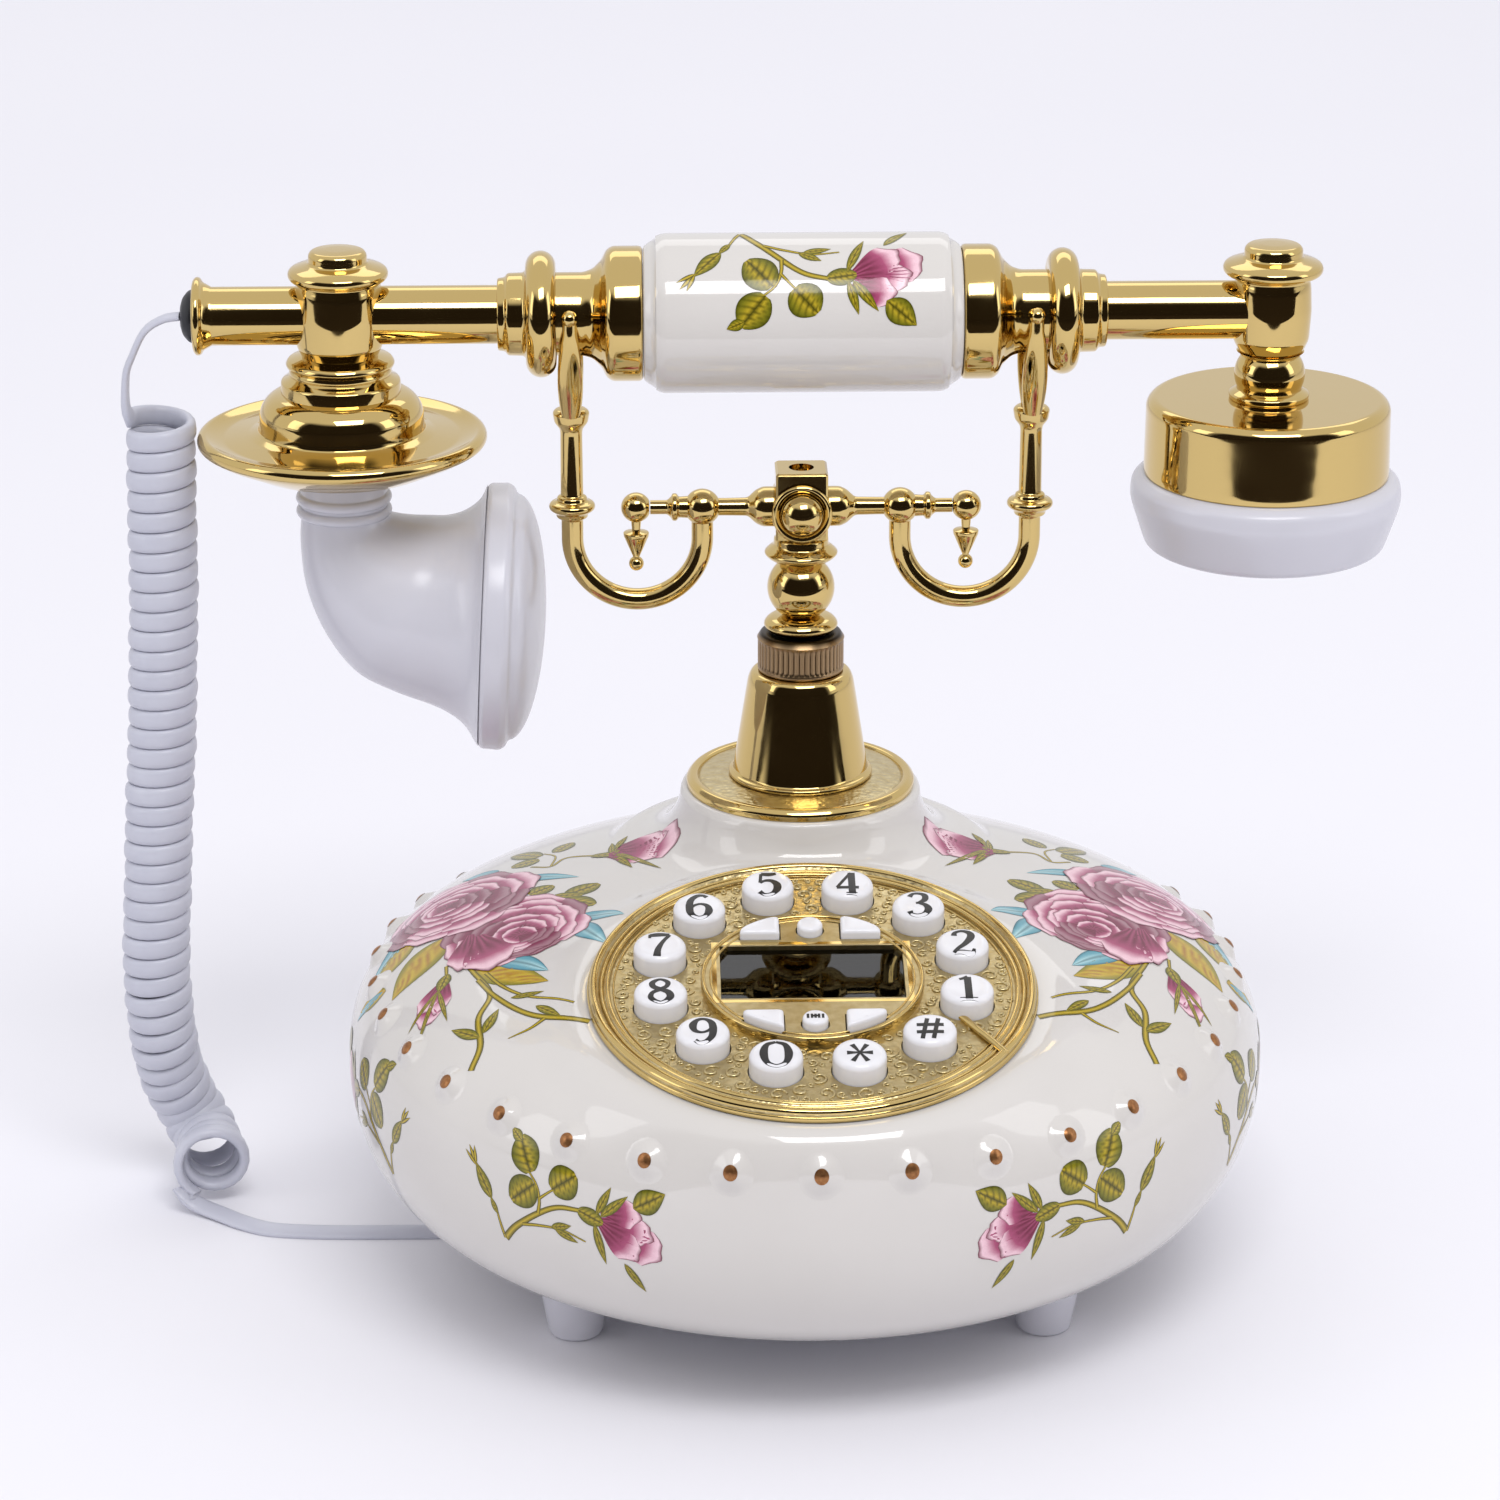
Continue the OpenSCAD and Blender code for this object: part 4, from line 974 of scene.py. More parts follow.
# ---------------------------------------------------------------------------------------------
# Handset. A glazed ceramic sleeve between two gold end fittings on a tie rod, with gold tubes,
# knobs, a saucer over the transmitter and a drum for the receiver.
handset_z = 226
grip_middle = (0, column_y, handset_z)
turning("ceramic_grip",
        rounded([(12, -37.4), (15.6, -37.4), (16.4, -36.4), (17.7, -34.4)], 0.6)
        + arc((13.6, -31.8), 5.2, -30, 0, 6) + arc((13.6, 31.8), 5.2, 0, 30, 6)
        + rounded([(17.7, 34.4), (16.4, 36.4), (15.6, 37.4), (12, 37.4)], 0.6),
        grip_middle, "handset", "grip_sleeve", along=(1, 0, 0), material=glaze, slot="white_glaze",
        sharp=60)


def grip_place(x, y, lift):
    """Places a sprig on the grip, hanging from near its top."""
    turn, shift = math.radians(9), 1.05
    across = (x * math.cos(turn) - y * math.sin(turn)) * shift - 14.6
    round_arc = 30 - (x * math.sin(turn) + y * math.cos(turn)) * shift
    a = round_arc / 18.8
    radius = 18.8 + lift
    return np.array((across, column_y - radius * math.cos(a), handset_z + radius * math.sin(a)))


transferred("grip_sprig", sprig, grip_place, "handset")

for side, word in ((-1, "left"), (1, "right")):
    turning("end_fitting_" + word,
            rounded([(3.1, 37.5), (15.5, 37.5), (15.9, 38.2), (15.9, 44.6), (15, 46), (12.6, 47.2),
                     (10.6, 49.2),
                     (9.8, 51.4), (9.8, 57)], 0.8)
            + arc((11.3, 61.4), 3.6, -115, 80, 18)
            + rounded([(10.4, 65), (9.8, 65.6), (9.7, 69.2), (8.7, 69.9), (8.5, 71.6), (6.9, 71.6)], 0.5),
            grip_middle, "handset", "collar_" + word, along=(side, 0, 0))

turning("transmitter_tube",
        [(6.9, 68), (6.9, 104), (6.9, 138.4)]
        + rounded([(6.9, 138.6), (8.0, 140.6), (9.1, 141.2), (9.3, 142.2), (8.4, 143), (6.7, 143),
                   (6.1, 141)], 0.5),
        grip_middle, "handset", "mic_tube", along=(-1, 0, 0))
turning("receiver_tube", [(6.9, 68), (6.9, 107)], grip_middle, "handset", "ear_tube", along=(1, 0, 0))


def knob(r):
    """Outline of a barrel under a domed cap and a button."""
    return ([(0, -10.4)] + rounded([(0, -10.4), (r - 2.0, -10.4), (r - 0.4, -7), (r, 0), (r - 0.3, 6),
                                    (r - 0.8, 8.1), (10.2, 8.6)], 1.0)
            + arc((10.3, 10.1), 1.5, -85, 75, 12)
            + rounded([(10.4, 11.7), (8, 12.4), (6.9, 12.8), (6.9, 14.8), (6.2, 15.7), (3, 16),
                       (0, 16.05)], 0.6))


turning("transmitter_knob", knob(10.6), (-108.8, column_y, handset_z), "handset", "mic_knob")
turning("receiver_knob",
        rounded([(0, -21.6), (9.4, -21.6), (9.6, -20.2), (7.8, -19.2)], 0.5)
        + arc((1.4, -15.6), 7, -25, 40, 10) + rounded([(7.2, -10.9), (7.4, -10.3), (8, -10)], 0.2)
        + knob(9.4)[4:], (110.9, column_y, handset_z), "handset", "ear_knob")
turning("transmitter_saucer",
        rounded([(0, 186), (20, 188.2), (31.6, 193.6)], 3) + arc((32.6, 196.2), 1.7, -60, 110, 12)
        + rounded([(31, 197.2), (28, 196.7), (22, 197.6), (19.7, 198.4), (19.5, 200)], 0.5)
        + arc((13.4, 201.6), 6, 0, 72, 14)
        + rounded([(14.2, 207.6), (14.1, 210.4), (12.4, 211.3)], 0.5)
        + arc((10.6, 212.6), 1.5, -30, 30, 5) + rounded([(12.4, 213.6), (12.9, 214.6), (12.3, 215.6),
                                                         (9, 216.6)],
                                                        0.4),
        (-108.8, column_y, 0), "handset", "mic_saucer")
turning("receiver_drum",
        rounded([(27, 186), (29.2, 186), (29.2, 188), (29, 201)], 0.4)
        + arc((26.4, 201.8), 2.6, 0, 90, 10)
        + rounded([(26.4, 204.4), (10, 204.5), (0, 204.5)], 1),
        (110.9, column_y, 0), "handset", "receiver_shell")

# Receiver cap: moulded white ABS with a bevelled rim. Its sound holes underneath are not cut: flat black
# discs are painted shade in their place.
ear_outline = (rounded([(0, 167.8), (26.6, 167.8), (28.6, 168.8), (31.7, 178), (32.3, 180.4),
                        (32, 184), (29.6, 186),
                        (27, 186)], 1.1))
turning("receiver_cap", ear_outline, (110.9, column_y, 0), "handset", "ear_cap", material=abs_white,
        slot="white_plastic", sharp=60)
# Painted shade: seven flat black discs where the sound holes would show dark
hole_shade_discs = []
for k in range(7):
    a = 2 * math.pi * k / 6
    at = (110.9, column_y) if k == 6 else (110.9 + 7 * math.cos(a), column_y + 7 * math.sin(a))
    hole_shade_discs.append(lathe([(0, 167.74), (1.4, 167.74)], (at[0], at[1], 0), sides=24))
points, faces = gather(hole_shade_discs)

# Soft black rubber: matt, with a faint bloom
rubber, tree, surface = start_material("black_rubber")
place = add_node(tree, "ShaderNodeTexCoord").outputs["Object"]
bloom = add_node(tree, "ShaderNodeTexNoise", {"Vector": place, "Scale": 1 / (2 * MM), "Detail": 3.0})
dull = add_node(tree, "ShaderNodeMapRange", {"Value": bloom.outputs["Fac"], "To Min": 0.35,
                                             "To Max": 0.55})
rubber_shader = add_node(tree, "ShaderNodeBsdfPrincipled", {
    "Base Color": linear("#14151B"), "Roughness": dull.outputs["Result"]})
tree.links.new(rubber_shader.outputs["BSDF"], surface)
# The discs take the black rubber material as painted shade of the sound holes
hole_shade_piece = piece("receiver_hole_shade", points, faces, rubber, "handset")
turning("cord_grommet_boot",
        rounded([(3.9, 139.2), (5.9, 141.2), (6.5, 142.4), (6.1, 144), (4.4, 145.4), (2.6, 145.9)], 0.7)
        + [(0, 146)], grip_middle, "handset", "cord_grommet", along=(-1, 0, 0), material=rubber,
        slot="black_rubber")

# Horn: blow-moulded white plastic, a flaring elbow from the saucer to the transmitter's mouth
horn_tops = [(-98.6, 178.6), (-97.9, 177), (-95.5, 176.3), (-92, 175.8), (-88, 175.6), (-84, 175.6),
             (-80, 176.8), (-76.6, 179.3), (-74.8, 182.6)]
horn_bottoms = [(-119, 178.2), (-119.4, 170), (-118.2, 159), (-114, 148), (-107, 138.6), (-98, 133.6),
                (-87.5, 129.5), (-81.5, 125.5), (-78, 120)]
rings = smooth_route([(*a, *b) for a, b in zip(horn_tops, horn_bottoms)], 1.2)
horn_sides = 72
points = []
for top_x, top_z, bottom_x, bottom_z in rings:
    middle = np.array(((top_x + bottom_x) / 2, column_y, (top_z + bottom_z) / 2))
    reach = np.array(((top_x - bottom_x) / 2, 0, (top_z - bottom_z) / 2))
    sideways = np.array((0, np.linalg.norm(reach), 0))
    for i in range(horn_sides):
        a = 2 * math.pi * i / horn_sides
        points.append(middle + reach * math.cos(a) + sideways * math.sin(a))
faces = [(k * horn_sides + i, k * horn_sides + (i + 1) % horn_sides,
          (k + 1) * horn_sides + (i + 1) % horn_sides, (k + 1) * horn_sides + i)
         for k in range(len(rings) - 1) for i in range(horn_sides)]
neck = lathe([(7.4, 176.8), (9.8, 176.8)] + arc((10.1, 178.3), 1.3, -80, 80, 10)
             + arc((10.1, 181.5), 1.3, -80, 80, 10) + [(10.2, 183), (10.2, 187)], (-108.8, column_y, 0))
points, faces = gather([(points, faces), neck])
horn = piece("transmitter_horn", points, faces, abs_white, "handset", sharp=60)
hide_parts("horn")

mouth_top, mouth_bottom = np.array((-74.8, 182.6)), np.array((-78, 120))
mouth = (mouth_top + mouth_bottom) / 2
lean = math.atan2(mouth_top[0] - mouth_bottom[0], mouth_top[1] - mouth_bottom[1])
turning("transmitter_cap",
        rounded([(29, 0), (31, 0), (31.9, 0.9), (32.1, 5.2), (31.2, 6.6), (30, 7.1)], 0.6)
        + [(29.6 * math.cos(math.radians(a)), 7.2 + 8 * math.sin(math.radians(a)))
           for a in range(3, 90, 5)]
        + [(0, 15.2)], (mouth[0], column_y, mouth[1]), "handset", "horn_cap",
        along=(math.cos(lean), 0, -math.sin(lean)), material=abs_white, slot="white_plastic", sharp=60)

# ---------------------------------------------------------------------------------------------
# Dial. A die-struck brass plate, gold-plated, with scrollwork in relief, a finger stop, and a
# raised stage round the smoked window of the display.
paint(["dial_plate"], embossed, sharp=20)
ring_v = 1.5
key_ring = 36.1
key_radius = 6.1
key_rise = 5.2
stage_radius = 25.6
stage_rise = 2.0


def on_dial(u, v, w):
    """A point by its place on the dial's face."""
    return dial_centre + dial_right * u + dial_back * v + dial_out * w


number_places = [(key_ring * math.cos(math.radians(k * 30 - 15)),
                  ring_v + key_ring * math.sin(math.radians(k * 30 - 15))) for k in range(12)]


def scroll(u, v, size, turn, hand):
    """A C-scroll of raised wire with a curled end."""
    t = np.linspace(0, 1, 30)
    a = turn + hand * t * 7.2
    r = size * (1 - 0.82 * t)
    route = np.array([on_dial(u + rr * math.cos(aa), v + rr * math.sin(aa), 0.02)
                      for rr, aa in zip(r, a)])
    thick = 0.34 * size ** 0.3 * np.sin(np.pi * (0.08 + 0.84 * t)) ** 0.5
    return swept(route, thick, thick, tuple(dial_out), sides=8)


# Worn gold of the raised scrolls: the same plate, rubbed smooth
worn_gold, tree, surface = start_material("worn_gold_relief")
place = add_node(tree, "ShaderNodeTexCoord").outputs["Object"]
rub = add_node(tree, "ShaderNodeTexNoise", {"Vector": place, "Scale": 1 / (1.5 * MM), "Detail": 3.0})
tint = add_node(tree, "ShaderNodeMix", {"Factor": rub.outputs["Fac"], "A": linear("#B9A26A"),
                                        "B": linear("#DDD0A6")}, data_type="RGBA")
worn_shader = add_node(tree, "ShaderNodeBsdfPrincipled", {"Base Color": tint.outputs["Result"],
                                                          "Metallic": 1.0, "Roughness": 0.33})
tree.links.new(worn_shader.outputs["BSDF"], surface)

taken = [(u, v, key_radius + 0.7) for u, v in number_places]
taken += [(20 + k * 1.7, ring_v - 12 - k * 1.3, 1.2) for k in range(12)]
scrolls = []
golden = math.pi * (3 - math.sqrt(5))
for size, tries in ((2.1, 900), (1.35, 1600), (0.8, 2600)):
    for n in range(tries):
        reach = 26 + 20 * ((n * 0.61803398875) % 1)
        a = n * golden * 1.37
        u, v = reach * math.cos(a), reach * math.sin(a)
        if math.hypot(u, v) > 46 - size or math.hypot(u, v - ring_v) < stage_radius + 0.5 + size:
            continue
        if any(math.hypot(u - x, v - y) < size + r for x, y, r in taken):
            continue
        taken.append((u, v, size))
        scrolls.append(scroll(u, v, size, a * 1.7, 1 if n % 2 else -1))
points, faces = gather(scrolls)
scrollwork = piece("dial_scrollwork", points, faces, worn_gold, "base", sharp=60)

# Polished lines of the dial: two rims, the ring of the stage, its step and the finger stop
lines = []
for centre_v, radius, wide, top in ((0, 50.3, 0.95, 1.2), (0, 48.4, 0.4, 0.7), (0, 47.0, 0.6, 0.8),
                                    (0, 51.25, 0.45, -0.1), (0, 45.6, 0.25, 0.25),
                                    (ring_v, stage_radius - 0.5, 0.55, stage_rise + 0.3),
                                    (ring_v, stage_radius - 2.2, 0.3, stage_rise + 0.15)):
    foot = min(-0.2, top - 1)
    lines.append(lathe([(radius - wide, foot)] + arc((radius, top - wide * 0.6), wide, 165, 15, 10)
                       + [(radius + wide, foot)], on_dial(0, centre_v, 0), tuple(dial_out), sides=160))
stop = np.array([on_dial(*p) for p in ((32.4, -11.4, 0.4), (36, -17.4, 0.6), (40, -24, 0.8),
                                       (42.4, -28.4, 1))])
lines.append(swept(smooth_route(stop, 1), 0.9, 0.8, tuple(dial_out), sides=16))
points, faces = gather(lines)
rims = piece("dial_rims", points, faces, gold, "base", sharp=60)
top_plate = piece("dial_stage_top", [on_dial(x, y, 2.03) for x, y in (
    (-21.9, 14.9), (21.9, 14.9), (21.9, -7.7), (-21.9, -7.7), (-23, 16), (23, 16), (23, -8.8),
    (-23, -8.8))],
    [(0, 1, 5, 4), (1, 2, 6, 5), (2, 3, 7, 6), (3, 0, 4, 7)], gold, "base")

# Smoked acrylic: a dark brown-olive window with a mirror-smooth face
smoked, tree, surface = start_material("smoked_acrylic")
fresnel = add_node(tree, "ShaderNodeFresnel", {"IOR": 1.49})
see_through = add_node(tree, "ShaderNodeBsdfTransparent", {"Color": (0.30, 0.25, 0.14, 1)})
shine = add_node(tree, "ShaderNodeBsdfGlossy", {"Roughness": 0.02})
smoked_shader = add_node(tree, "ShaderNodeMixShader",
                         {"Fac": fresnel.outputs["Fac"], 1: see_through.outputs[0],
                                                       2: shine.outputs[0]})
tree.links.new(smoked_shader.outputs["Shader"], surface)
paint(["lcd_window"], smoked)

# Liquid-crystal glass: olive cell with faint idle segments
cell, tree, surface = start_material("lcd_cell")
place = add_node(tree, "ShaderNodeTexCoord").outputs["Object"]
bands = add_node(tree, "ShaderNodeTexBrick", {
    "Vector": place, "Color1": linear("#6E6B3C"), "Color2": linear("#605E36"),
    "Mortar": linear("#A39E70"),
    "Scale": 1.0, "Mortar Size": 0.25 * MM, "Brick Width": 6 * MM, "Row Height": 5 * MM}, offset=0.0)
cell_shader = add_node(tree, "ShaderNodeBsdfPrincipled", {"Base Color": bands.outputs["Color"],
                                                          "Roughness": 0.3})
tree.links.new(cell_shader.outputs["BSDF"], surface)
paint(["lcd_module"], cell)

# ---------------------------------------------------------------------------------------------
# Keys. Moulded gloss plastic, each with a printed sign, on a silicone mat over the key board.
key_white, tree, surface = start_material("gloss_key_plastic")
place = add_node(tree, "ShaderNodeTexCoord").outputs["Object"]
flow = add_node(tree, "ShaderNodeTexNoise", {"Vector": place, "Scale": 1 / (6 * MM), "Detail": 2.0})
tint = add_node(tree, "ShaderNodeMix", {"Factor": flow.outputs["Fac"], "A": linear("#D9D8DC"),
                                        "B": linear("#E3E2E5")}, data_type="RGBA")
key_shader = add_node(tree, "ShaderNodeBsdfPrincipled", {
    "Base Color": tint.outputs["Result"], "Roughness": 0.14, "IOR": 1.5, "Subsurface Weight": 0.05,
    "Subsurface Radius": (1, 0.9, 0.8), "Subsurface Scale": 1 * MM})
tree.links.new(key_shader.outputs["BSDF"], surface)

# Printing ink: dense black, slightly raised and satin
ink_black, tree, surface = start_material("black_pad_print")
place = add_node(tree, "ShaderNodeTexCoord").outputs["Object"]
patchy = add_node(tree, "ShaderNodeTexNoise", {"Vector": place, "Scale": 1 / (0.6 * MM), "Detail": 2.0})
tint = add_node(tree, "ShaderNodeMix", {"Factor": patchy.outputs["Fac"], "A": linear("#0B0B0D"),
                                        "B": linear("#232326")}, data_type="RGBA")
ink_shader = add_node(tree, "ShaderNodeBsdfPrincipled", {"Base Color": tint.outputs["Result"],
                                                         "Roughness": 0.3})
tree.links.new(ink_shader.outputs["BSDF"], surface)

# The signs as pen strokes: points in millimetres from the key's middle, each with its width
nine = [(-1.8, -3.7, 0.8), (-0.8, -4.5, 0.6), (0.7, -4.1, 0.9), (2.0, -2.2, 1.2), (2.3, 0.8, 1.4),
        (1.9, 3.2, 1.2), (0.4, 4.5, 0.6), (-1.2, 4.1, 0.8), (-2.2, 2.2, 1.4), (-1.9, 0.1, 1.0),
        (-0.5, -0.8, 0.5), (1.0, -0.3, 0.5), (2.1, 1.1, 0.5)]
signs = [
    [[(0.2, -4.3, 1.3), (0.2, 4.3, 1.3)], [(0.3, 4.3, 0.9), (-0.8, 3.7, 0.6), (-1.7, 3.4, 0.5)],
     [(-1.9, -4.3, 0.6), (2.2, -4.3, 0.6)]],
    [[(-1.9, 2.6, 1.1), (-1.6, 3.9, 0.7), (0.1, 4.6, 0.6), (1.8, 3.6, 1.2), (1.9, 1.8, 1.4),
      (0.5, -0.7, 1.0),
      (-1.2, -2.6, 0.7), (-2.2, -4.1, 0.6)], [(-2.3, -4.1, 0.6), (-0.5, -3.9, 1.1), (1.4, -4.3, 1.1),
                                             (2.2, -4.0, 0.8), (2.5, -2.7, 0.4)]],
    [[(-2.0, 3.1, 1.0), (-1.2, 4.3, 0.6), (0.3, 4.5, 0.6), (1.6, 3.6, 1.1), (1.5, 1.8, 1.1),
      (0.2, 0.6, 0.6),
      (-0.6, 0.4, 0.4)], [(0.0, 0.5, 0.5), (1.6, -0.5, 1.0), (2.2, -2.2, 1.4), (1.3, -3.9, 1.0),
                          (-0.3, -4.5, 0.6), (-1.7, -4.0, 0.7), (-2.2, -2.9, 1.1)]],
    [[(0.9, 4.4, 0.5), (-2.5, -1.8, 0.5)], [(-2.6, -1.9, 0.7), (2.6, -1.9, 0.7)],
     [(1.0, 4.4, 1.3), (1.0, -4.3, 1.3)], [(-0.4, -4.3, 0.5), (2.2, -4.3, 0.5)]],
    [[(-1.5, 4.1, 0.9), (0.4, 3.9, 1.1), (2.0, 4.3, 0.6)], [(-1.5, 4.2, 0.5), (-1.8, 0.4, 0.5)],
     [(-1.8, 0.3, 0.5), (-0.6, 1.2, 0.6), (0.9, 1.1, 0.9), (2.1, -0.3, 1.4), (2.1, -2.4, 1.4),
      (0.9, -4.1, 0.8),
      (-0.8, -4.4, 0.5), (-2.0, -3.3, 1.0)]],
    [[(-x, -y, w) for x, y, w in nine]],
    [[(-2.2, 3.9, 0.8), (-0.4, 4.2, 1.1), (2.3, 4.2, 0.7)], [(-2.2, 4.3, 0.5), (-2.3, 2.8, 0.4)],
     [(2.3, 4.1, 0.6), (0.7, 1.2, 0.7), (-0.4, -1.8, 1.1), (-0.7, -4.4, 1.4)]],
    [[(0, 0.4, 1.0), (-1.6, 1.5, 1.1), (-1.8, 3.2, 1.0), (-0.1, 4.5, 0.5), (1.6, 3.4, 0.9),
      (1.4, 1.7, 0.8),
      (0, 0.4, 0.9)], [(0, 0.4, 0.9), (1.8, -0.8, 1.3), (2.1, -2.8, 1.3), (0.1, -4.5, 0.5),
                       (-2.1, -3.1, 1.0),
                       (-1.9, -1.0, 0.8), (0, 0.4, 0.9)]],
    [nine],
    [[(0, 4.5, 0.5), (-2.1, 3.3, 1.0), (-2.8, 0, 1.5), (-2.1, -3.3, 1.0), (0, -4.5, 0.5),
      (2.1, -3.3, 1.0),
      (2.8, 0, 1.5), (2.1, 3.3, 1.0), (0, 4.5, 0.5)]],
    [[(-2.9, 0, 1.0), (0, 0, 0.3), (2.9, 0, 1.0)], [(-1.7, -3.2, 0.9), (0, 0, 0.3), (1.7, 3.2, 0.9)],
     [(1.7, -3.2, 0.9), (0, 0, 0.3), (-1.7, 3.2, 0.9)]],
    [[(-1.9, -3.9, 0.7), (-0.5, 3.9, 0.7)], [(0.6, -3.9, 0.7), (2.0, 3.9, 0.7)],
     [(-3.0, 1.4, 0.8), (3.1, 1.4, 0.8)], [(-3.1, -1.4, 0.8), (3.0, -1.4, 0.8)]]]


def key_top(distance):
    """Height of a round key's top at a distance from its middle."""
    past = min(max(0, distance - (key_radius - 1.6)), 1.6)
    return key_rise + 0.12 * (1 - (distance / 5) ** 2) - (1.6 - math.sqrt(1.6 ** 2 - past ** 2))


def pen(stroke, u, v, height, drop=0.0):
    """A stroke as a thin flat ribbon at a place on the dial; its height depends on the place."""
    fine = smooth_route(stroke, 0.28) if len(stroke) > 2 else np.array(
        [np.array(stroke[0]) + (np.array(stroke[1]) - np.array(stroke[0])) * t for t in np.linspace(0,
            1, 14)])
    way = np.gradient(fine[:, :2], axis=0)
    way /= np.linalg.norm(way, axis=1)[:, None]
    points = []
    for (x, y, w), (dx, dy) in zip(fine, way):
        for s in (-0.5, 0.5):
            px = x - dy * (w * 1.15 + 0.2) * s
            py = y + dx * (w * 1.15 + 0.3) * s - drop
            points.append(on_dial(u + px, v + py, height(math.hypot(px, py)) + 0.05))
    faces = [(2 * k, 2 * k + 2, 2 * k + 3, 2 * k + 1) for k in range(len(fine) - 1)]
    return points, faces


number_names = ["key_1", "key_2", "key_3", "key_4", "key_5", "key_6", "key_7", "key_8", "key_9", "key_0",
                "key_star", "key_hash"]
for name, (u, v), strokes in zip(number_names, number_places, signs):
    outline_of_key = [(0, key_top(0))] + [(r, key_top(r)) for r in (1.5, 3, 4.2)]
    outline_of_key += [(key_radius - 1.6 + 1.6 * math.sin(math.radians(a)),
                        key_rise - 1.6 + 1.6 * math.cos(math.radians(a))) for a in range(0, 91, 10)]
    outline_of_key += [(key_radius, 1), (key_radius + 0.04, -3.3), (7, -3.3), (7, -4.3), (0, -4.3)]
    turning(name + "_cap", outline_of_key[::-1], on_dial(u, v, 0), name, name, along=tuple(dial_out),
            material=key_white, slot="key_plastic", sharp=60, sides=64)
    points, faces = gather([pen(s, u, v, key_top, drop=0.55) for s in strokes])
    sign = piece(name + "_sign", points, faces, ink_black, name)

function_names = ["key_redial", "key_up", "key_flash", "key_volume", "key_call_back", "key_down"]
key_top_w = stage_rise + 2.2
for k, name in enumerate(function_names):
    u, v = (k % 3 - 1) * 11.7, ring_v + (19.2 if k < 3 else -19.2)
    if k % 3 == 1:
        plan = [(3 * math.cos(a), 3 * math.sin(a)) for a in np.linspace(0, 2 * math.pi, 48,
            endpoint=False)]
    else:
        plan = []
        for a in np.linspace(0, 2 * math.pi, 96, endpoint=False):
            x, y = math.cos(a), math.sin(a)
            reach = min(4.6 / max(abs(x), 1e-9), 3.5 / max(abs(y), 1e-9))
            while math.hypot(u + x * reach, v - ring_v + y * reach) > stage_radius - 1.8:
                reach -= 0.02
            plan.append((x * reach, y * reach))
    for _ in range(2):
        plan = [tuple(np.mean([plan[i - 1], plan[i], plan[i], plan[(i + 1) % len(plan)]], axis=0))
                for i in range(len(plan))]
    levels = [(-3.3, 1.0), (key_top_w - 1.0, 1.0)]
    levels += [(key_top_w - 1.0 + math.sin(math.radians(a)), 1 - 0.27 * (1 - math.cos(math.radians(a))))
               for a in range(15, 91, 15)] + [(key_top_w + 0.04, 0.4), (key_top_w + 0.05, 0.02)]
    points = [on_dial(u + x * g, v + y * g, w) for w, g in levels for x, y in plan]
    n = len(plan)
    faces = [(r * n + i, r * n + (i + 1) % n, (r + 1) * n + (i + 1) % n, (r + 1) * n + i)
             for r in range(len(levels) - 1) for i in range(n)]
    function_key = piece(name + "_cap", points, faces, key_white, name, sharp=60)
    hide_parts(name)
low_v = ring_v - 19.2
glyph = [[(x, -0.8, 0.35), (x, 0.9, 0.35)] for x in (-1.7, -0.8, 0.0, 0.8, 1.7)]
glyph += [[(-0.9, 0.1, 0.3), (0.9, 0.1, 0.3)]]
points, faces = gather([pen(s, 0, low_v, lambda d: stage_rise + 2.2) for s in glyph])
sign = piece("function_sign", points, faces, ink_black, "key_call_back")

# ---------------------------------------------------------------------------------------------
# Parts inside. Glass-epoxy boards, a grey silicone mat, and black moulded fittings.
silicone, tree, surface = start_material("grey_silicone")
place = add_node(tree, "ShaderNodeTexCoord").outputs["Object"]
dust = add_node(tree, "ShaderNodeTexNoise", {"Vector": place, "Scale": 1 / (3 * MM), "Detail": 3.0})
tint = add_node(tree, "ShaderNodeMix", {"Factor": dust.outputs["Fac"], "A": linear("#8B8C8E"),
                                        "B": linear("#A2A3A4")}, data_type="RGBA")
silicone_shader = add_node(tree, "ShaderNodeBsdfPrincipled", {"Base Color": tint.outputs["Result"],
                                                              "Roughness": 0.6})
tree.links.new(silicone_shader.outputs["BSDF"], surface)
paint(["key_mat"], silicone)

# Solder mask: translucent green lacquer over woven glass cloth
board, tree, surface = start_material("green_solder_mask")
place = add_node(tree, "ShaderNodeTexCoord").outputs["Object"]
weave = add_node(tree, "ShaderNodeTexBrick", {
    "Vector": place, "Color1": linear("#1F5A34"), "Color2": linear("#1A4E2C"),
    "Mortar": linear("#2E7A45"),
    "Scale": 1.0, "Mortar Size": 0.3 * MM, "Brick Width": 4 * MM, "Row Height": 2 * MM})
board_shader = add_node(tree, "ShaderNodeBsdfPrincipled", {"Base Color": weave.outputs["Color"],
                                                           "Roughness": 0.35})
tree.links.new(board_shader.outputs["BSDF"], surface)
paint(["main_board", "key_board"], board)

# Black moulded plastic: fine spark texture
black, tree, surface = start_material("black_moulded_plastic")
place = add_node(tree, "ShaderNodeTexCoord").outputs["Object"]
spark = add_node(tree, "ShaderNodeTexNoise", {"Vector": place, "Scale": 1 / (0.4 * MM), "Detail": 2.0})
relief = add_node(tree, "ShaderNodeBump", {"Height": spark.outputs["Fac"], "Strength": 0.3,
                                           "Distance": 0.05 * MM})
black_shader = add_node(tree, "ShaderNodeBsdfPrincipled", {
    "Base Color": linear("#1B1C1F"), "Roughness": 0.45, "Normal": relief.outputs["Normal"]})
tree.links.new(black_shader.outputs["BSDF"], surface)
paint(["jack_block", "hook_switch", "ringer", "microphone", "ear_speaker"], black)

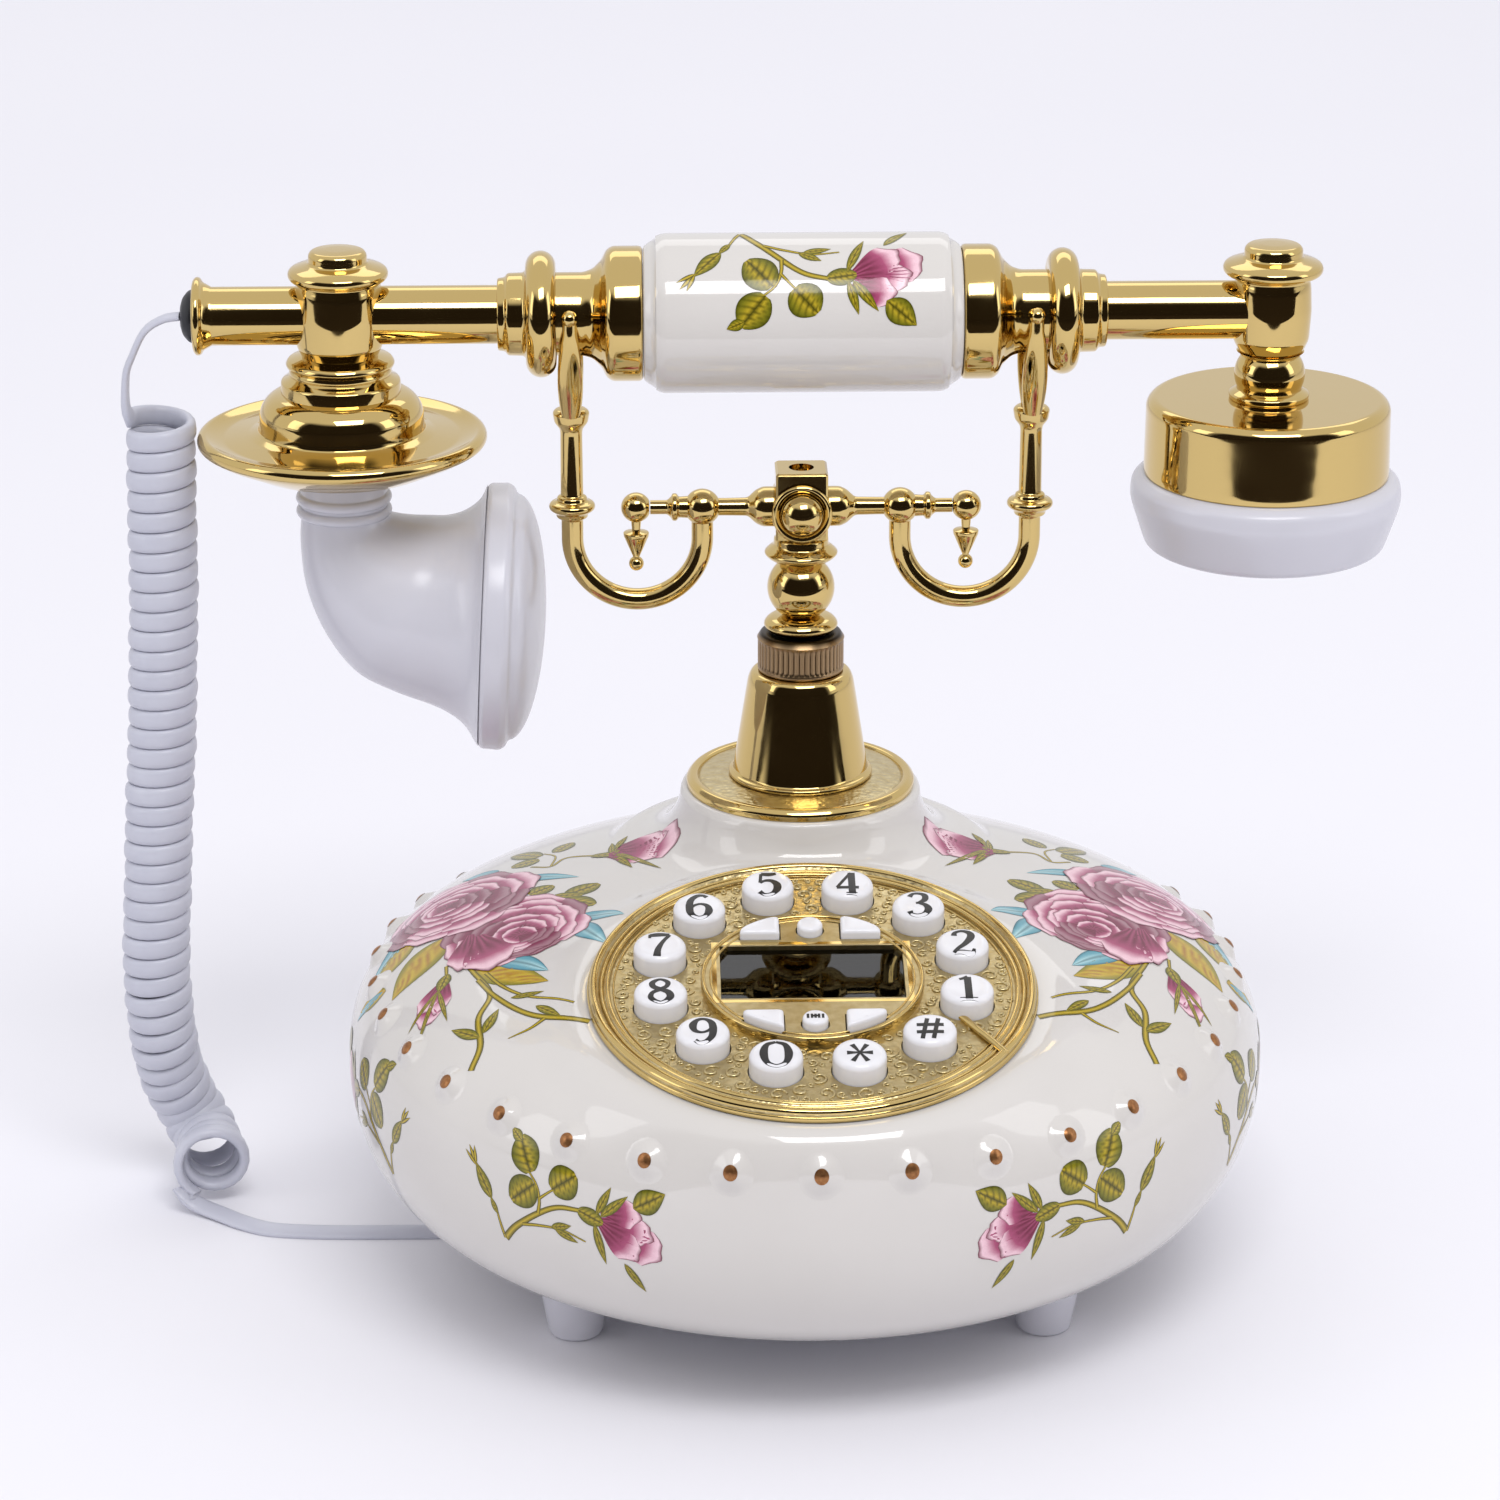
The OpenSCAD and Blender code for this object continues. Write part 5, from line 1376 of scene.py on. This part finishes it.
# ---------------------------------------------------------------------------------------------
# Studio. A pale lavender-white paper sweep in a room of soft light. The side of the room behind
# the camera is dark to what mirrors it, which gives the gold its dark bands.
paper, tree, surface = start_material("pale_paper")
place = add_node(tree, "ShaderNodeTexCoord").outputs["Object"]
fibres = add_node(tree, "ShaderNodeTexNoise", {"Vector": place, "Scale": 1 / 0.5, "Detail": 2.0})
tint = add_node(tree, "ShaderNodeMix", {"Factor": fibres.outputs["Fac"], "A": linear("#E4E3E9"),
                                        "B": linear("#EAE9EE")}, data_type="RGBA")
paper_shader = add_node(tree, "ShaderNodeBsdfPrincipled", {"Base Color": tint.outputs["Result"],
                                                           "Roughness": 0.8})
# Past its front edge the sweep is dark, but only to what mirrors it
edge = add_node(tree, "ShaderNodeSeparateXYZ", {"Vector": place})
beyond = add_node(tree, "ShaderNodeMath", {0: edge.outputs["Y"], 1: -0.52}, operation="LESS_THAN")
ray = add_node(tree, "ShaderNodeLightPath")
mirrored = add_node(tree, "ShaderNodeMath", {0: beyond.outputs["Value"], 1: ray.outputs["Is Glossy Ray"]},
                    operation="MULTIPLY")
shade = add_node(tree, "ShaderNodeBsdfDiffuse", {"Color": linear("#2A2420")})
paper_mix = add_node(tree, "ShaderNodeMixShader", {0: mirrored.outputs["Value"],
                                                   1: paper_shader.outputs["BSDF"],
                                                   2: shade.outputs["BSDF"]})
tree.links.new(paper_mix.outputs["Shader"], surface)
floor = piece("paper_floor", [(-9000, -9000, 0), (9000, -9000, 0), (9000, 9000, 0), (-9000, 9000, 0)],
              [(0, 1, 2, 3)], paper, None)


def softbox(name, location, target, size, power, colour="#FFFFFF"):
    """A rectangular area light that faces its target."""
    data = bpy.data.lights.new(name, "AREA")
    data.shape = "RECTANGLE"
    data.size, data.size_y = size
    data.energy = power
    data.color = linear(colour)[:3]
    light = bpy.data.objects.new(name, data)
    bpy.context.scene.collection.objects.link(light)
    light.location = location
    light.rotation_euler = (Vector(target) - Vector(location)).to_track_quat("-Z", "Y").to_euler()


softbox("top_box", (0.2, -0.95, 1.55), (0, 0, 0.1), (1.0, 0.55), 12)
softbox("back_box", (0, 1.5, 1.5), (0, 1.2, 0), (2.0, 0.8), 5)
softbox("left_box", (-1.5, -0.5, 0.8), (0, 0, 0.15), (0.5, 0.9), 1.8)
softbox("right_box", (1.5, -0.45, 0.8), (0, 0, 0.15), (0.5, 0.9), 1.8)

world = bpy.data.worlds.new("studio_room")
bpy.context.scene.world = world
world.use_nodes = True
tree = world.node_tree
tree.nodes.clear()
way = add_node(tree, "ShaderNodeTexCoord").outputs["Generated"]
split = add_node(tree, "ShaderNodeSeparateXYZ", {"Vector": way})
front = add_node(tree, "ShaderNodeMapRange", {"Value": split.outputs["Y"], "From Min": -0.32,
                                              "From Max": -0.55}, interpolation_type="SMOOTHSTEP")
low = add_node(tree, "ShaderNodeMapRange", {"Value": split.outputs["Z"], "From Min": 0.78,
                                            "From Max": 0.58}, interpolation_type="SMOOTHSTEP")
dark = add_node(tree, "ShaderNodeMath", {0: front.outputs["Result"], 1: low.outputs["Result"]},
                operation="MULTIPLY")
ray = add_node(tree, "ShaderNodeLightPath")
unlit = add_node(tree, "ShaderNodeMath", {0: dark.outputs["Value"], 1: ray.outputs["Is Glossy Ray"]},
                 operation="MULTIPLY")
room = add_node(tree, "ShaderNodeMix", {"Factor": unlit.outputs["Value"], "A": linear("#FBFBFF"),
                                        "B": linear("#2A2420")}, data_type="RGBA")
seen = add_node(tree, "ShaderNodeMapRange", {"Value": ray.outputs["Is Camera Ray"], "To Min": 0.87,
                                             "To Max": 0.72})
background = add_node(tree, "ShaderNodeBackground", {"Color": room.outputs["Result"],
                                                     "Strength": seen.outputs["Result"]})
add_node(tree, "ShaderNodeOutputWorld", {"Surface": background.outputs["Background"]})

bpy.context.scene.view_settings.view_transform = "Standard"
